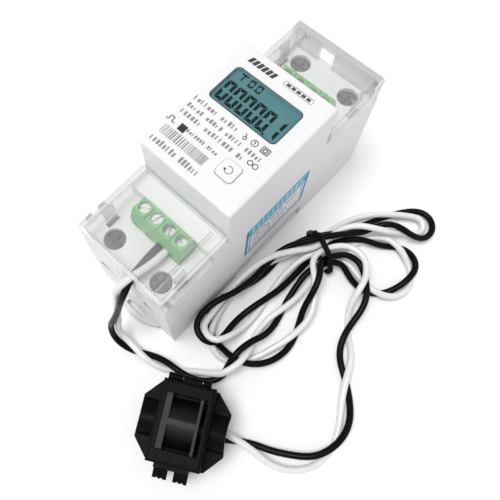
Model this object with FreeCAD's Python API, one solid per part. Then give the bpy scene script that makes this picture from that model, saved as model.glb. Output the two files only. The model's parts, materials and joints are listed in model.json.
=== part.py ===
"""Single-phase energy meter, two modules wide, with its split-core current transformer.

The meter lies on its back. Millimetres, +Z towards the viewer of the display.
The origin is the middle of the seat that rests on a mounting rail: X runs along
the rail, and -Y is the end where the transformer's twisted pair leaves.
"""
import FreeCAD
import Part
import math
import os

from FreeCAD import Vector

# Housing
WIDTH = 36.0                 # two modules of 18
LENGTH = 100.0
BACK_DEPTH = 7.0             # back surface below the rail seat
SEAM_Z = 12.0                # joint between base and top housing
DECK_Z = 34.3                # floor of the terminal bays
COVER_TOP_Z = 45.0
FACE_Z = 58.5
FACE_LENGTH = 45.0           # raised face, standard panel window
SIDE_DRAFT = 0.8             # each side leans in by this much over the height
WALL = 1.8
LEDGE_LENGTH = 6.2           # step at the foot of the raised face
LEDGE_Z = 39.5
CORNER_R = 0.9
SEAT_GAP = 0.05              # gap between pieces that rest on each other
FIT_GAP = 0.3                # gap between pieces that move or snap together

# Rail clip
RAIL_WIDTH = 35.0
RAIL_GAP = 0.3
RAIL_FLANGE = 1.0
HOOK_REACH = 2.3
SEAT_EDGE = 1.2              # the seat ends this far inside the lips
SEAT_RELIEF = 0.3
HOOK_DEPTH = 1.5
CLIP_WIDTH = 14.0
CLIP_THICK = 2.4
CLIP_RAISE = 1.3             # from the meter's back to the clip
CLIP_REACH = 2.6
CLIP_TRAVEL = 3.5
TAB_WIDTH = 22.0
TAB_REACH = 4.2
TAB_R = 18.0
TAB_SLOT = 8.0
TAB_SLOT_WIDE = 1.7
TUNNEL_WALL = 1.2
SPRING_WIDE = 4.6
SPRING_STRIP = 0.35
SPRING_DEEP = 1.8
SPRING_LENGTH = 11.0
SPRING_FOLDS = 6
SPRING_RIB = 2.0

# Main terminals
POLE_SIDE = 8.0              # from the widest part of a side to the middle of its clamps
POLE_END = 6.3               # from the housing's end to the middle of its clamps
ENTRY_R = 4.0
ENTRY_Z = 17.5
ACCESS_R = 3.5
TONGUE_THICK = 1.5
TONGUE_WIDTH = 6.0
TONGUE_GAP = 0.5             # between the entry's top and the tongue
TONGUE_SHORT = 0.4           # the tongue ends this far inside the cage
ENTRY_CLEAR = 0.5            # the open cage's floor lies this far below the entry
CAGE_WIDTH = 11.0
CAGE_DEEP = 8.4
CAGE_SIDE = 1.3
CAGE_FLOOR = 1.5
CAGE_ROOF = 2.0
CAGE_LIFT = 3.0
SCREW_R = 2.5
HEAD_R = 3.8
HEAD_TALL = 2.4
THREAD_GAP = 0.05
WELL_WALL = 1.2
SHUNT_LONG = 9.0
CARRIER_POST = 3.0
CARRIER_END = 10.7           # from the middle of a clamp to the nearest post
CARRIER_MIDDLE = 12.0
CARRIER_RAIL = 2.0
CARRIER_RAIL_Z = 8.0

# Small terminal blocks
BLOCK_PITCH = 5.08
BLOCK_POLES = 4
BLOCK_LEDGE = 0.7            # from the ledge's foot to the block
BLOCK_TOP_DEEP = 5.2
BLOCK_DEEP = 6.8
BLOCK_TOP_Z = 42.5
BLOCK_SHOULDER_Z = 38.5
BLOCK_BOTTOM_Z = 32.2
BLOCK_SCREW_R = 1.9
BLOCK_SCREW_IN = 2.5         # from the block's back to the middle of its screws
BLOCK_SCREW_DEEP = 5.2
SCREW_DROP = 2.9             # from the block's top down to a driven screw
OPEN_SCREW_DROP = 0.9
OPEN_SCREWS = (0, 1)         # poles whose screws stand open
BLOCK_ENTRY = 2.6
BLOCK_ENTRY_Z = 36.2

# Face
WINDOW_END = 14.6            # from the raised face's rear end to the middle of the window
WINDOW_WIDE = 13.5
WINDOW_R = 1.6
LENS_THICK = 0.9
LENS_LIP = 0.9
LCD_LEFT = 0.15              # from the display board's left edge to the display
LCD_RIGHT = 1.85
LCD_RIM = 1.05               # the display reaches this far under each end of the window's frame
LCD_WIDE = 16.5
BACKLIGHT_THICK = 3.2
BUTTON_X = 7.7
BUTTON_END = 9.85            # from the raised face's front end to the middle of the button
BUTTON_SIZE = 6.0
BUTTON_R = 1.3
BUTTON_GAP = 0.15
BUTTON_PROUD = 0.5
BUTTON_TRAVEL = 0.8
BUTTON_FLANGE = 0.7
BUTTON_LIP = 0.8
PULSE_X = -10.7
PULSE_END = 11.0
PULSE_SIZE = 2.2
PULSE_GAP = 0.1
PULSE_RIM = 0.7

# Boards
BOARD_THICK = 1.6
BOARD_SIDE = 0.9             # from the board's edge to the narrowest inner wall
BOARD_END = 1.2              # from the main board's end to the screw wells
DISPLAY_BOARD_Z = 49.0
DISPLAY_BOARD_END = 0.7      # from the display board's end to the raised face's wall
POST_R = 1.5
POST_SIDE = 2.5              # from a board's edge to the middle of its posts
HEADER_PINS = 8
HEADER_PITCH = 2.54
PIN_SIZE = 0.64
CAN_AT = (-8.5, 6.0)
CAN_R = 4.0
CAN_TALL = 12.0
TRANSFORMER_AT = (5.5, 5.5)
TRANSFORMER_LONG = 12.0
TRANSFORMER_WIDE = 10.0
TRANSFORMER_TALL = 11.0
VARISTOR_AT = (-2.0, -4.5)
VARISTOR_R = 4.5
VARISTOR_THICK = 3.0
CHIP_AT = (7.5, -7.5)
CHIP_LONG = 7.0
CHIP_WIDE = 5.0
CHIP_TALL = 2.0
HEADER_END = 7.25            # from the raised face's front end to the pin header
SWITCH_SIZE = 6.0
SWITCH_TALL = 2.2
PLUNGER_TALL = 0.8
PLUNGER_R = 1.5
LAMP_LONG = 2.0
LAMP_WIDE = 1.3
LAMP_TALL = 1.0

# Clear covers
COVER_WALL = 1.5
COVER_EDGE_R = 1.0
LEG_DEPTH = 4.0              # below the deck
LEG_THICK = 1.1
LEG_INSET = 0.6
LEG_LONG = 4.0
LEG_END = 10.0               # from the housing's end to the middle of a leg
GATE_X = 3.9
GATE_WIDTH = 5.8
GATE_TOP_Z = 41.2
SEAL_SIDE = 1.3              # from the cover's side to the middle of the seal slot
SEAL_END = 7.0
SEAL_LONG = 7.4
SEAL_WIDE = 1.5
SEAL_NECK = 2.6
RIB_SIDE = 5.1
RIB_THICK = 0.9
RIB_DEEP = 2.2

# Seal label on the right wall
LABEL_Y = -14.0
LABEL_LONG = 30.0
LABEL_Z = 10.0
LABEL_TALL = 22.0
LABEL_THICK = 0.15

# Current transformer, in its own axes: u along the conductor, v to the hinge, w up
CT_PLACE = Vector(40.9, -68.2, -BACK_DEPTH)
CT_TURN = 30.56              # degrees from +X to u
CT_BORE_R = 5.0
CT_SLEEVE_WALL = 0.95
CT_SLEEVE_LONG = 6.0         # each sleeve beyond the case
CT_MOUTH_SLANT = 0.14        # a sleeve's mouth leans back by this share of its height over the flange
CT_CORE_IN_R = 6.8
CT_CORE_R = 9.8
CT_CORE_HALF = 5.2           # half the core's length along the conductor
CT_CORE_GAP = 0.3
CT_CORE_END = 1.4            # from the core to the inside of the case's ends
CT_SIDE_WALL = 2.3
CT_END_WALL = 1.8
CT_ROOF = 1.1
CT_FLANGE_THICK = 1.6
CT_FLANGE_NECK = 0.8         # the flange's full width reaches this far beyond the case
CT_FLAT_V = 6.6              # half length of the flange's straight end
CT_WINDOW_V = 8.4
CT_CHAMFER = 0.9
CT_HINGE_R = 1.4
CT_PIN_R = 0.73
CT_PIN_HOLD = 0.02           # gap round the pin in the eyes that hold it
CT_PIN_GAP = 0.05            # gap round the pin in the lid's eye
CT_OPEN_GAP = 0.05
KNUCKLE_LEFT = 8.2           # from the middle of the hinge to the far side of its outer eyes
KNUCKLE_RIGHT = 6.2
KNUCKLE_IN = 3.4
KNUCKLE_GAP = 0.2
WINDING_THICK = 0.7
WINDING_ANGLE = 50.0
GLAND_R = 2.5
GLAND_LONG = 1.8
RETAINER_THICK = 0.7
RETAINER_BAR = 2.1
RETAINER_THIN = 0.9
RETAINER_MIDDLE = 1.8
LATCH_LEFT = 6.0
LATCH_RIGHT = 5.0
LATCH_GAP = 0.25
LATCH_THICK = 1.2
LATCH_REACH = 4.6
LATCH_BELOW = 6.2            # from the parting line down to the tongue's tip
LATCH_ABOVE = 5.8
PRONG_BELOW = 1.5
PRONG_ABOVE = 1.3
PRONG_APART = 2.1
PRONG_TOOTH_R = 0.35

# Twisted pair, as one round line
CORD_D = 4.6
LEAD_Z = 37.8                # height of the pair where it leaves the terminal block
CORD_LOW = -BACK_DEPTH + CORD_D / 2 + 0.2
CORD_HIGH = CORD_LOW + CORD_D + 0.5
TIE_AT = Vector(34.4, 10.0, 0)
TIE_ANGLE = 65.2             # direction of the bundle, degrees from +X
TIE_STEP = 5.2               # sideways step between the passes under the tie
TIE_RISE = 4.45
TIE_WIRE_R = 0.6
TIE_LIFT = 1.35              # the passes climb over the binding wire
TIE_TURNS = 2
TIE_KNOT_R = 1.2
TIE_APART = 0.2
LEAST_GAP = 0.4


# Shape helpers
def box(x0, x1, y0, y1, z0, z1):
    return Part.makeBox(x1 - x0, y1 - y0, z1 - z0, Vector(x0, y0, z0))


def rod(radius, start, end):
    axis = end.sub(start)
    return Part.makeCylinder(radius, axis.Length, start, axis)


def prism_x(points, x0, x1):
    """Solid from a Y-Z outline, drawn out along X."""
    corners = [Vector(x0, y, z) for y, z in points]
    face = Part.Face(Part.makePolygon(corners + corners[:1]))
    return face.extrude(Vector(x1 - x0, 0, 0))


def prism_y(points, y0, y1):
    """Solid from an X-Z outline, drawn out along Y."""
    corners = [Vector(x, y0, z) for x, z in points]
    face = Part.Face(Part.makePolygon(corners + corners[:1]))
    return face.extrude(Vector(0, y1 - y0, 0))


def prism_z(points, z0, z1):
    """Solid from an X-Y outline, drawn out along Z."""
    corners = [Vector(x, y, z0) for x, y in points]
    face = Part.Face(Part.makePolygon(corners + corners[:1]))
    return face.extrude(Vector(0, 0, z1 - z0))


def pad(x, y, long, wide, radius, z0, z1):
    """Plate with rounded corners, its middle at x, y."""
    plate = box(x - long / 2, x + long / 2, y - wide / 2, y + wide / 2, z0, z1)
    upright = [edge for edge in plate.Edges if abs(edge.tangentAt(edge.FirstParameter).z) > 0.9]
    return plate.makeFillet(radius, upright)


def join(first, *others):
    return first.fuse(list(others)).removeSplitter()


def turned(shape):
    """The same piece at the other end of the meter."""
    copy = shape.copy()
    copy.rotate(Vector(0, 0, 0), Vector(0, 0, 1), 180)
    return copy


def save(shape, node):
    shape.exportStep("parts/" + node + ".step")
    print(node, "solids", len(shape.Solids), "valid", shape.isValid(), "volume", round(shape.Volume, 1))


# Housing
FACE_HALF = FACE_LENGTH / 2
LENGTH_HALF = LENGTH / 2
POLE_X = WIDTH / 2 - POLE_SIDE
POLE_Y = LENGTH_HALF - POLE_END
INSIDE_Y = LENGTH_HALF - WALL
DECK_UNDER = DECK_Z - WALL
FACE_UNDER = FACE_Z - WALL
CHANNEL_HALF = RAIL_WIDTH / 2 + RAIL_GAP
BLOCK_BACK = FACE_HALF + LEDGE_LENGTH + BLOCK_LEDGE
WINDOW_Y = FACE_HALF - WINDOW_END
BUTTON_Y = -FACE_HALF + BUTTON_END
PULSE_Y = -FACE_HALF + PULSE_END
HEADER_Y = -FACE_HALF + HEADER_END


def half_width(z):
    return WIDTH / 2 - SIDE_DRAFT * (z + BACK_DEPTH) / (FACE_Z + BACK_DEPTH)


BOARD_HALF = half_width(FACE_Z) - WALL - BOARD_SIDE
LCD_LONG = 2 * BOARD_HALF - LCD_LEFT - LCD_RIGHT
WINDOW_X = (LCD_LEFT - LCD_RIGHT) / 2
WINDOW_LONG = LCD_LONG - 2 * LCD_RIM


def slab(inset, z0, z1):
    """Everything between the two leaning sides, set in by a distance."""
    low = half_width(z0) - inset
    high = half_width(z1) - inset
    return prism_y([(-low, z0), (low, z0), (high, z1), (-high, z1)], -LENGTH, LENGTH)


def top_outline(inset, floor_z):
    """Side view of the top housing, set in by a wall thickness."""
    deck = DECK_Z - inset
    ledge = LEDGE_Z - inset
    face = FACE_Z - inset
    end = LENGTH_HALF - inset
    step = FACE_HALF + LEDGE_LENGTH - inset
    wall = FACE_HALF - inset
    return [(-end, floor_z), (-end, deck), (-step, deck), (-step, ledge), (-wall, ledge), (-wall, face),
            (wall, face), (wall, ledge), (step, ledge), (step, deck), (end, deck), (end, floor_z)]


def rounded_top_edges(shape):
    """Soft edges round the raised face and up its corners."""
    edges = []
    for edge in shape.Edges:
        low, high = edge.BoundBox.ZMin, edge.BoundBox.ZMax
        at_top = low > FACE_Z - 0.01
        corner = high > FACE_Z - 0.01 and low < LEDGE_Z + 0.01 and edge.BoundBox.YLength < 0.01
        if at_top or corner:
            edges.append(edge)
    return shape.makeFillet(CORNER_R, edges)


def block_pocket():
    half = BLOCK_PITCH * BLOCK_POLES / 2 + SEAT_GAP
    back = -BLOCK_BACK + SEAT_GAP
    front = -(BLOCK_BACK + BLOCK_DEEP) - SEAT_GAP
    return box(-half, half, front, back, DECK_UNDER - 1, DECK_Z + 1)


COVER_HALF = half_width(DECK_Z)


def cover_legs(gap, z0, z1):
    """The two snap legs of a cover, or with a gap the slots that they enter."""
    legs = []
    y = -LENGTH_HALF + LEG_END
    reach = LEG_LONG / 2 + gap
    for side in (-1, 1):
        outer = COVER_HALF - COVER_WALL - LEG_INSET
        inner = outer - LEG_THICK
        x0, x1 = sorted((side * (outer + gap), side * (inner - gap)))
        legs.append(box(x0, x1, y - reach, y + reach, z0, z1))
    return legs


HEAD_TOP = DECK_UNDER - SEAT_GAP * 4
HEAD_LOW = HEAD_TOP - HEAD_TALL
WELL_R = HEAD_R + FIT_GAP + WELL_WALL


def screw_well(x, y):
    """Sleeve below the deck that guides the screw's head."""
    outer = rod(WELL_R, Vector(x, y, HEAD_LOW + FIT_GAP), Vector(x, y, DECK_UNDER + WALL / 2))
    inner = rod(HEAD_R + FIT_GAP, Vector(x, y, HEAD_LOW), Vector(x, y, DECK_UNDER))
    return outer.cut(inner)


def poles():
    """Middle of each main terminal: front left, front right, rear left, rear right."""
    return [(-POLE_X, -POLE_Y), (POLE_X, -POLE_Y), (-POLE_X, POLE_Y), (POLE_X, POLE_Y)]


def face_openings():
    """Window with its rebate, button hole and pulse light hole."""
    low = FACE_UNDER - 1
    high = FACE_Z + 1
    rebate = pad(WINDOW_X, WINDOW_Y, WINDOW_LONG, WINDOW_WIDE, WINDOW_R, FACE_Z - LENS_THICK, high)
    through = pad(WINDOW_X, WINDOW_Y, WINDOW_LONG - 2 * LENS_LIP, WINDOW_WIDE - 2 * LENS_LIP,
                  WINDOW_R - LENS_LIP, low, high)
    hole = BUTTON_SIZE + 2 * BUTTON_GAP
    button = pad(BUTTON_X, BUTTON_Y, hole, hole, BUTTON_R + BUTTON_GAP, low, high)
    side = PULSE_SIZE / 2 + PULSE_GAP
    pulse = box(PULSE_X - side, PULSE_X + side, PULSE_Y - side, PULSE_Y + side, low, high)
    return [rebate, through, button, pulse]


DISPLAY_BOARD_HALF = FACE_HALF - WALL - DISPLAY_BOARD_END
DISPLAY_BOARD_TOP = DISPLAY_BOARD_Z + BOARD_THICK
MAIN_BOARD_TOP = BLOCK_BOTTOM_Z - SEAT_GAP
MAIN_BOARD_HALF = POLE_Y - WELL_R - BOARD_END


def board_posts():
    """Posts under the raised face that press on the display board's corners."""
    posts = []
    for side in (-1, 1):
        for end in (-1, 1):
            at = Vector(side * (BOARD_HALF - POST_SIDE), end * (DISPLAY_BOARD_HALF - POST_R), 0)
            low = at + Vector(0, 0, DISPLAY_BOARD_TOP + SEAT_GAP)
            posts.append(rod(POST_R, low, at + Vector(0, 0, FACE_UNDER + WALL / 2)))
    return posts


def top_housing():
    outer = prism_x(top_outline(0, SEAM_Z), -WIDTH, WIDTH).common(slab(0, SEAM_Z, FACE_Z))
    outer = rounded_top_edges(outer.removeSplitter())
    inner = prism_x(top_outline(WALL, SEAM_Z - 1), -WIDTH, WIDTH).common(slab(WALL, SEAM_Z - 1, FACE_Z))
    shell = outer.cut(inner)
    wells = [screw_well(x, y) for x, y in poles()]
    shell = join(shell, *wells, *board_posts())
    cuts = face_openings() + [block_pocket(), turned(block_pocket())]
    for slot in cover_legs(FIT_GAP, DECK_Z - LEG_DEPTH - FIT_GAP, DECK_Z + 1):
        cuts += [slot, turned(slot)]
    for x, y in poles():
        cuts.append(rod(ACCESS_R, Vector(x, y, DECK_UNDER - 1), Vector(x, y, DECK_Z + 1)))
        outside = math.copysign(LENGTH_HALF + 1, y)
        inside = math.copysign(INSIDE_Y - 0.5, y)
        cuts.append(rod(ENTRY_R, Vector(x, inside, ENTRY_Z), Vector(x, outside, ENTRY_Z)))
    return shell.cut(cuts)


def base_outline(inset):
    """Side view of the base with its rail channel, set in by a wall thickness."""
    end = LENGTH_HALF - inset
    back = -BACK_DEPTH + inset
    channel = CHANNEL_HALF + inset
    top = SEAM_Z - SEAT_GAP if inset == 0 else SEAM_Z + 1
    return [(-end, back), (-end, top), (end, top), (end, back), (channel, back), (channel, inset),
            (-channel, inset), (-channel, back)]


CLIP_LOW = -BACK_DEPTH + CLIP_RAISE
CLIP_HIGH = CLIP_LOW + CLIP_THICK
CLIP_BACK = CHANNEL_HALF - CLIP_REACH
CLIP_NOSE_TOP = -RAIL_FLANGE - RAIL_GAP
TUNNEL_TOP = CLIP_HIGH + FIT_GAP + TUNNEL_WALL
SPRING_POCKET = SPRING_WIDE / 2 + FIT_GAP
SPRING_Y = -(CHANNEL_HALF + 2 * CLIP_TRAVEL)
CAGE_REST = ENTRY_Z - ENTRY_R - ENTRY_CLEAR - CAGE_FLOOR


def clip_tunnel():
    """Block of the base that the rail clip slides through, and its hollow."""
    half = CLIP_WIDTH / 2 + FIT_GAP
    back = -CHANNEL_HALF - 0.5
    blade_block = box(-half - TUNNEL_WALL, half + TUNNEL_WALL, -INSIDE_Y - 0.5, back, -BACK_DEPTH, TUNNEL_TOP)
    nose_block = box(-half - TUNNEL_WALL, half + TUNNEL_WALL, back - CLIP_TRAVEL - WALL, back, -BACK_DEPTH,
                     SEAT_RELIEF + SEAT_GAP)
    blade_room = box(-half, half, -LENGTH, -CHANNEL_HALF + 1, CLIP_LOW - FIT_GAP, CLIP_HIGH + FIT_GAP)
    nose_room = box(-half, half, -CHANNEL_HALF - CLIP_TRAVEL - 0.8, -CHANNEL_HALF + 1, CLIP_LOW - FIT_GAP,
                    CLIP_NOSE_TOP + FIT_GAP)
    return join(blade_block, nose_block), join(blade_room, nose_room)


def cage_plinth(x, y):
    """Step of the base that a terminal cage stands on while it is open."""
    return box(x - CAGE_WIDTH / 2, x + CAGE_WIDTH / 2, y - CAGE_DEEP / 2, y + CAGE_DEEP / 2,
               -BACK_DEPTH + WALL - 0.2, CAGE_REST - SEAT_GAP)


def fixed_hook():
    """Lip at the rear side of the channel that the rail's edge slips under."""
    low = -RAIL_FLANGE - RAIL_GAP - HOOK_DEPTH
    high = -RAIL_FLANGE - RAIL_GAP
    reach = CHANNEL_HALF - HOOK_REACH
    points = [(CHANNEL_HALF + 0.5, low - HOOK_DEPTH), (reach + 0.8, low), (reach, low + 0.5), (reach, high),
              (CHANNEL_HALF + 0.5, high)]
    return prism_x(points, -WIDTH / 2 + 2, WIDTH / 2 - 2)


def base_housing():
    outer = prism_x(base_outline(0), -WIDTH, WIDTH).common(slab(0, -BACK_DEPTH, SEAM_Z))
    inner = prism_x(base_outline(WALL), -WIDTH, WIDTH).common(slab(WALL, -BACK_DEPTH, SEAM_Z + 1))
    shell = outer.cut(inner)
    tunnel, hollow = clip_tunnel()
    plinths = [cage_plinth(x, y) for x, y in poles()]
    shell = join(shell, tunnel, fixed_hook(), *plinths).cut([hollow, tab_recess()])
    lip = -RAIL_FLANGE - RAIL_GAP
    for near, far in ((CHANNEL_HALF - HOOK_REACH - SEAT_EDGE, CHANNEL_HALF),
                      (-CHANNEL_HALF, -CLIP_BACK + SEAT_EDGE)):
        shell = shell.cut(box(-WIDTH, WIDTH, near, far, lip, SEAT_RELIEF))
    return join(shell, spring_rib())


def tab_recess():
    """Hollow under the front edge that the clip's tab draws out of."""
    half = TAB_WIDTH / 2 + FIT_GAP
    return box(-half, half, -LENGTH, -LENGTH_HALF + 1.0, CLIP_LOW - FIT_GAP, CLIP_HIGH + FIT_GAP)


def din_clip():
    """Sliding rail clip: nose at the channel, flat blade, rounded tab with its slot."""
    half = CLIP_WIDTH / 2
    profile = [(-CLIP_BACK, CLIP_LOW), (-CLIP_BACK, CLIP_NOSE_TOP - 0.9), (-CLIP_BACK - 0.5, CLIP_NOSE_TOP),
               (-CHANNEL_HALF - 0.2, CLIP_NOSE_TOP), (-CHANNEL_HALF - 0.2, CLIP_HIGH),
               (-LENGTH_HALF - FIT_GAP, CLIP_HIGH), (-LENGTH_HALF - FIT_GAP, CLIP_LOW)]
    blade = prism_x(profile, -half, half)
    tip = -LENGTH_HALF - TAB_REACH
    ring = rod(TAB_R, Vector(0, tip + TAB_R, CLIP_LOW), Vector(0, tip + TAB_R, CLIP_HIGH))
    edge = -LENGTH_HALF - FIT_GAP
    half_tab = TAB_WIDTH / 2
    tab = ring.common(box(-half_tab, half_tab, -LENGTH, edge + 1.0, CLIP_LOW, CLIP_HIGH))
    slot = pad(0, edge - TAB_SLOT_WIDE / 2 - 0.2, TAB_SLOT, TAB_SLOT_WIDE, 0.7, CLIP_LOW - 1, CLIP_HIGH + 1)
    clip = join(blade, tab)
    pocket_end = SPRING_Y - SPRING_LENGTH - SPRING_RIB - 2 * FIT_GAP
    pocket = box(-SPRING_POCKET, SPRING_POCKET, pocket_end, SPRING_Y + SEAT_GAP, CLIP_LOW - 1, CLIP_HIGH + 1)
    return clip.cut([slot, pocket])


def din_clip_spring():
    """Folded strip spring that lies in the blade and pushes the clip towards the rail."""
    step = SPRING_LENGTH / SPRING_FOLDS
    thick = SPRING_STRIP * math.hypot(SPRING_WIDE, step) / step
    half = (SPRING_WIDE - thick) / 2
    middle = (CLIP_LOW + CLIP_HIGH) / 2
    line = []
    for fold in range(SPRING_FOLDS + 1):
        side = half if fold % 2 else -half
        line.append((side, SPRING_Y - fold * step))
    right = [(x + thick / 2, y) for x, y in line]
    left = [(x - thick / 2, y) for x, y in line]
    return prism_z(right + left[::-1], middle - SPRING_DEEP / 2, middle + SPRING_DEEP / 2)


def spring_rib():
    """Rib of the base that the spring pushes from, inside the clip's pocket."""
    front = SPRING_Y - SPRING_LENGTH - SEAT_GAP
    half = SPRING_POCKET - FIT_GAP
    return box(-half, half, front - SPRING_RIB, front, CLIP_LOW - FIT_GAP - 0.2, CLIP_HIGH + FIT_GAP + 0.2)


# Main terminals
TONGUE_LOW = ENTRY_Z + ENTRY_R + TONGUE_GAP
TONGUE_HIGH = TONGUE_LOW + TONGUE_THICK
CAGE_TOP = HEAD_LOW - 2 * FIT_GAP - CAGE_LIFT


def terminal_cage(x, y):
    """Steel window that the screw draws up against the tongue."""
    half = CAGE_WIDTH / 2
    deep = CAGE_DEEP / 2
    outer = box(x - half, x + half, y - deep, y + deep, CAGE_REST, CAGE_TOP)
    inner_half = half - CAGE_SIDE
    window = box(x - inner_half, x + inner_half, y - deep - 1, y + deep + 1, CAGE_REST + CAGE_FLOOR,
                 CAGE_TOP - CAGE_ROOF)
    hole = rod(SCREW_R + THREAD_GAP, Vector(x, y, CAGE_REST), Vector(x, y, CAGE_TOP + 1))
    hole = hole.common(box(x - half, x + half, y - deep, y + deep, CAGE_TOP - CAGE_ROOF - 1, CAGE_TOP + 1))
    upright = [edge for edge in outer.Edges if abs(edge.tangentAt(edge.FirstParameter).y) > 0.9]
    return outer.makeFillet(1.0, upright).cut([window, hole])


def terminal_screw(x, y):
    """Clamp screw with a slotted head, its tip on the tongue."""
    shank = rod(SCREW_R, Vector(x, y, TONGUE_HIGH + SEAT_GAP), Vector(x, y, HEAD_LOW + SEAT_GAP))
    head = rod(HEAD_R, Vector(x, y, HEAD_LOW), Vector(x, y, HEAD_TOP))
    rim = [edge for edge in head.Edges if edge.BoundBox.ZMin > HEAD_TOP - 0.01]
    head = head.makeChamfer(HEAD_TALL / 6, rim)
    deep = HEAD_TOP - HEAD_TALL / 2
    half = HEAD_R / 8
    slot = box(x - HEAD_R, x + HEAD_R, y - half, y + half, deep, HEAD_TOP + 1)
    cross = box(x - half, x + half, y - HEAD_R * 0.6, y + HEAD_R * 0.6, deep, HEAD_TOP + 1)
    return join(shank, head).cut([slot, cross])


def busbar(x, y0, y1):
    """Flat copper bar with a tongue under each clamp screw it serves."""
    return box(x - TONGUE_WIDTH / 2, x + TONGUE_WIDTH / 2, y0, y1, TONGUE_LOW, TONGUE_HIGH)


TONGUE_END = POLE_Y + CAGE_DEEP / 2 - TONGUE_SHORT


def neutral_busbar():
    return busbar(-POLE_X, -TONGUE_END, TONGUE_END)


def line_busbars():
    front = busbar(POLE_X, -TONGUE_END, -SHUNT_LONG / 2)
    rear = busbar(POLE_X, SHUNT_LONG / 2, TONGUE_END)
    return front, rear


def current_shunt():
    """Waisted resistive link between the two line bars."""
    x = POLE_X
    half = TONGUE_WIDTH / 2
    bar = box(x - half, x + half, -SHUNT_LONG / 2, SHUNT_LONG / 2, TONGUE_LOW, TONGUE_HIGH)
    waist = [rod(TONGUE_WIDTH / 4, Vector(x + side * half, 0, TONGUE_LOW - 1),
                 Vector(x + side * half, 0, TONGUE_HIGH + 1)) for side in (-1, 1)]
    return bar.cut(waist)


def busbar_carrier():
    """Moulded cradle that stands on the base's floor and carries the bars."""
    half = TONGUE_WIDTH / 2
    deep = CARRIER_POST / 2
    rail = CARRIER_RAIL / 2
    end = POLE_Y - CARRIER_END
    low, high = CARRIER_RAIL_Z, CARRIER_RAIL_Z + CARRIER_RAIL
    solids = []
    for x in (-POLE_X, POLE_X):
        for y, floor in ((-end, TUNNEL_TOP), (-CARRIER_MIDDLE, WALL), (CARRIER_MIDDLE, WALL),
                         (end, -BACK_DEPTH + WALL)):
            solids.append(box(x - half, x + half, y - deep, y + deep, floor + SEAT_GAP,
                              TONGUE_LOW - SEAT_GAP))
        solids.append(box(x - rail, x + rail, -end, end, low, high))
    for y in (-CARRIER_MIDDLE, CARRIER_MIDDLE):
        solids.append(box(-POLE_X, POLE_X, y - rail, y + rail, low, high))
    return join(*solids)


# Small terminal blocks
def pole_x(index):
    return (index - (BLOCK_POLES - 1) / 2) * BLOCK_PITCH


BLOCK_SCREW_Y = -(BLOCK_BACK + BLOCK_SCREW_IN)


def terminal_block():
    """Row of wire clamps: stepped body, screw holes above, wire entries in front."""
    half = BLOCK_PITCH * BLOCK_POLES / 2
    back = -BLOCK_BACK
    front = back - BLOCK_DEEP
    profile = [(back, BLOCK_BOTTOM_Z), (back, BLOCK_TOP_Z), (back - BLOCK_TOP_DEEP, BLOCK_TOP_Z),
               (front, BLOCK_SHOULDER_Z), (front, BLOCK_BOTTOM_Z)]
    body = prism_x(profile, -half, half)
    cuts = []
    for index in range(BLOCK_POLES):
        x = pole_x(index)
        cuts.append(rod(BLOCK_SCREW_R, Vector(x, BLOCK_SCREW_Y, BLOCK_TOP_Z - BLOCK_SCREW_DEEP),
                        Vector(x, BLOCK_SCREW_Y, BLOCK_TOP_Z + 1)))
        cuts.append(box(x - BLOCK_ENTRY / 2, x + BLOCK_ENTRY / 2, front - 1, front + 2.4,
                        BLOCK_ENTRY_Z - BLOCK_ENTRY / 2, BLOCK_ENTRY_Z + BLOCK_ENTRY / 2))
    for index in range(BLOCK_POLES - 1):
        x = (pole_x(index) + pole_x(index + 1)) / 2
        cuts.append(box(x - 0.2, x + 0.2, front - 1, back - 1.0, BLOCK_TOP_Z - 0.5, BLOCK_TOP_Z + 1))
    return body.cut(cuts)


def block_screws():
    """Small slotted screws, two of them backed out."""
    screws = []
    for index in range(BLOCK_POLES):
        drop = OPEN_SCREW_DROP if index in OPEN_SCREWS else SCREW_DROP
        top = BLOCK_TOP_Z - drop
        at = Vector(pole_x(index), BLOCK_SCREW_Y, 0)
        low = BLOCK_TOP_Z - BLOCK_SCREW_DEEP + SEAT_GAP
        screw = rod(BLOCK_SCREW_R - 0.1, at + Vector(0, 0, low), at + Vector(0, 0, top))
        x, y = at.x, at.y
        slot = box(x - 2.5, x + 2.5, y - 0.3, y + 0.3, top - 0.7, top + 1)
        slot.rotate(Vector(x, y, 0), Vector(0, 0, 1), 35 + 40 * index)
        screws.append(screw.cut(slot))
    return Part.makeCompound(screws)


# Boards and display
def main_board():
    return box(-BOARD_HALF, BOARD_HALF, -MAIN_BOARD_HALF, MAIN_BOARD_HALF, MAIN_BOARD_TOP - BOARD_THICK,
               MAIN_BOARD_TOP)


def display_board():
    return box(-BOARD_HALF, BOARD_HALF, -DISPLAY_BOARD_HALF, DISPLAY_BOARD_HALF, DISPLAY_BOARD_Z,
               DISPLAY_BOARD_TOP)


def board_header():
    """Row of pins in a moulded strip between the two boards."""
    low = MAIN_BOARD_TOP + SEAT_GAP
    high = DISPLAY_BOARD_Z - SEAT_GAP
    half = HEADER_PITCH / 2
    reach = HEADER_PINS * half
    strip = box(-reach, reach, HEADER_Y - half, HEADER_Y + half, low, low + HEADER_PITCH)
    pins = []
    for index in range(HEADER_PINS):
        x = (index - (HEADER_PINS - 1) / 2) * HEADER_PITCH
        pins.append(box(x - PIN_SIZE / 2, x + PIN_SIZE / 2, HEADER_Y - PIN_SIZE / 2, HEADER_Y + PIN_SIZE / 2,
                        low + half, high))
    return join(strip, *pins)


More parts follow.
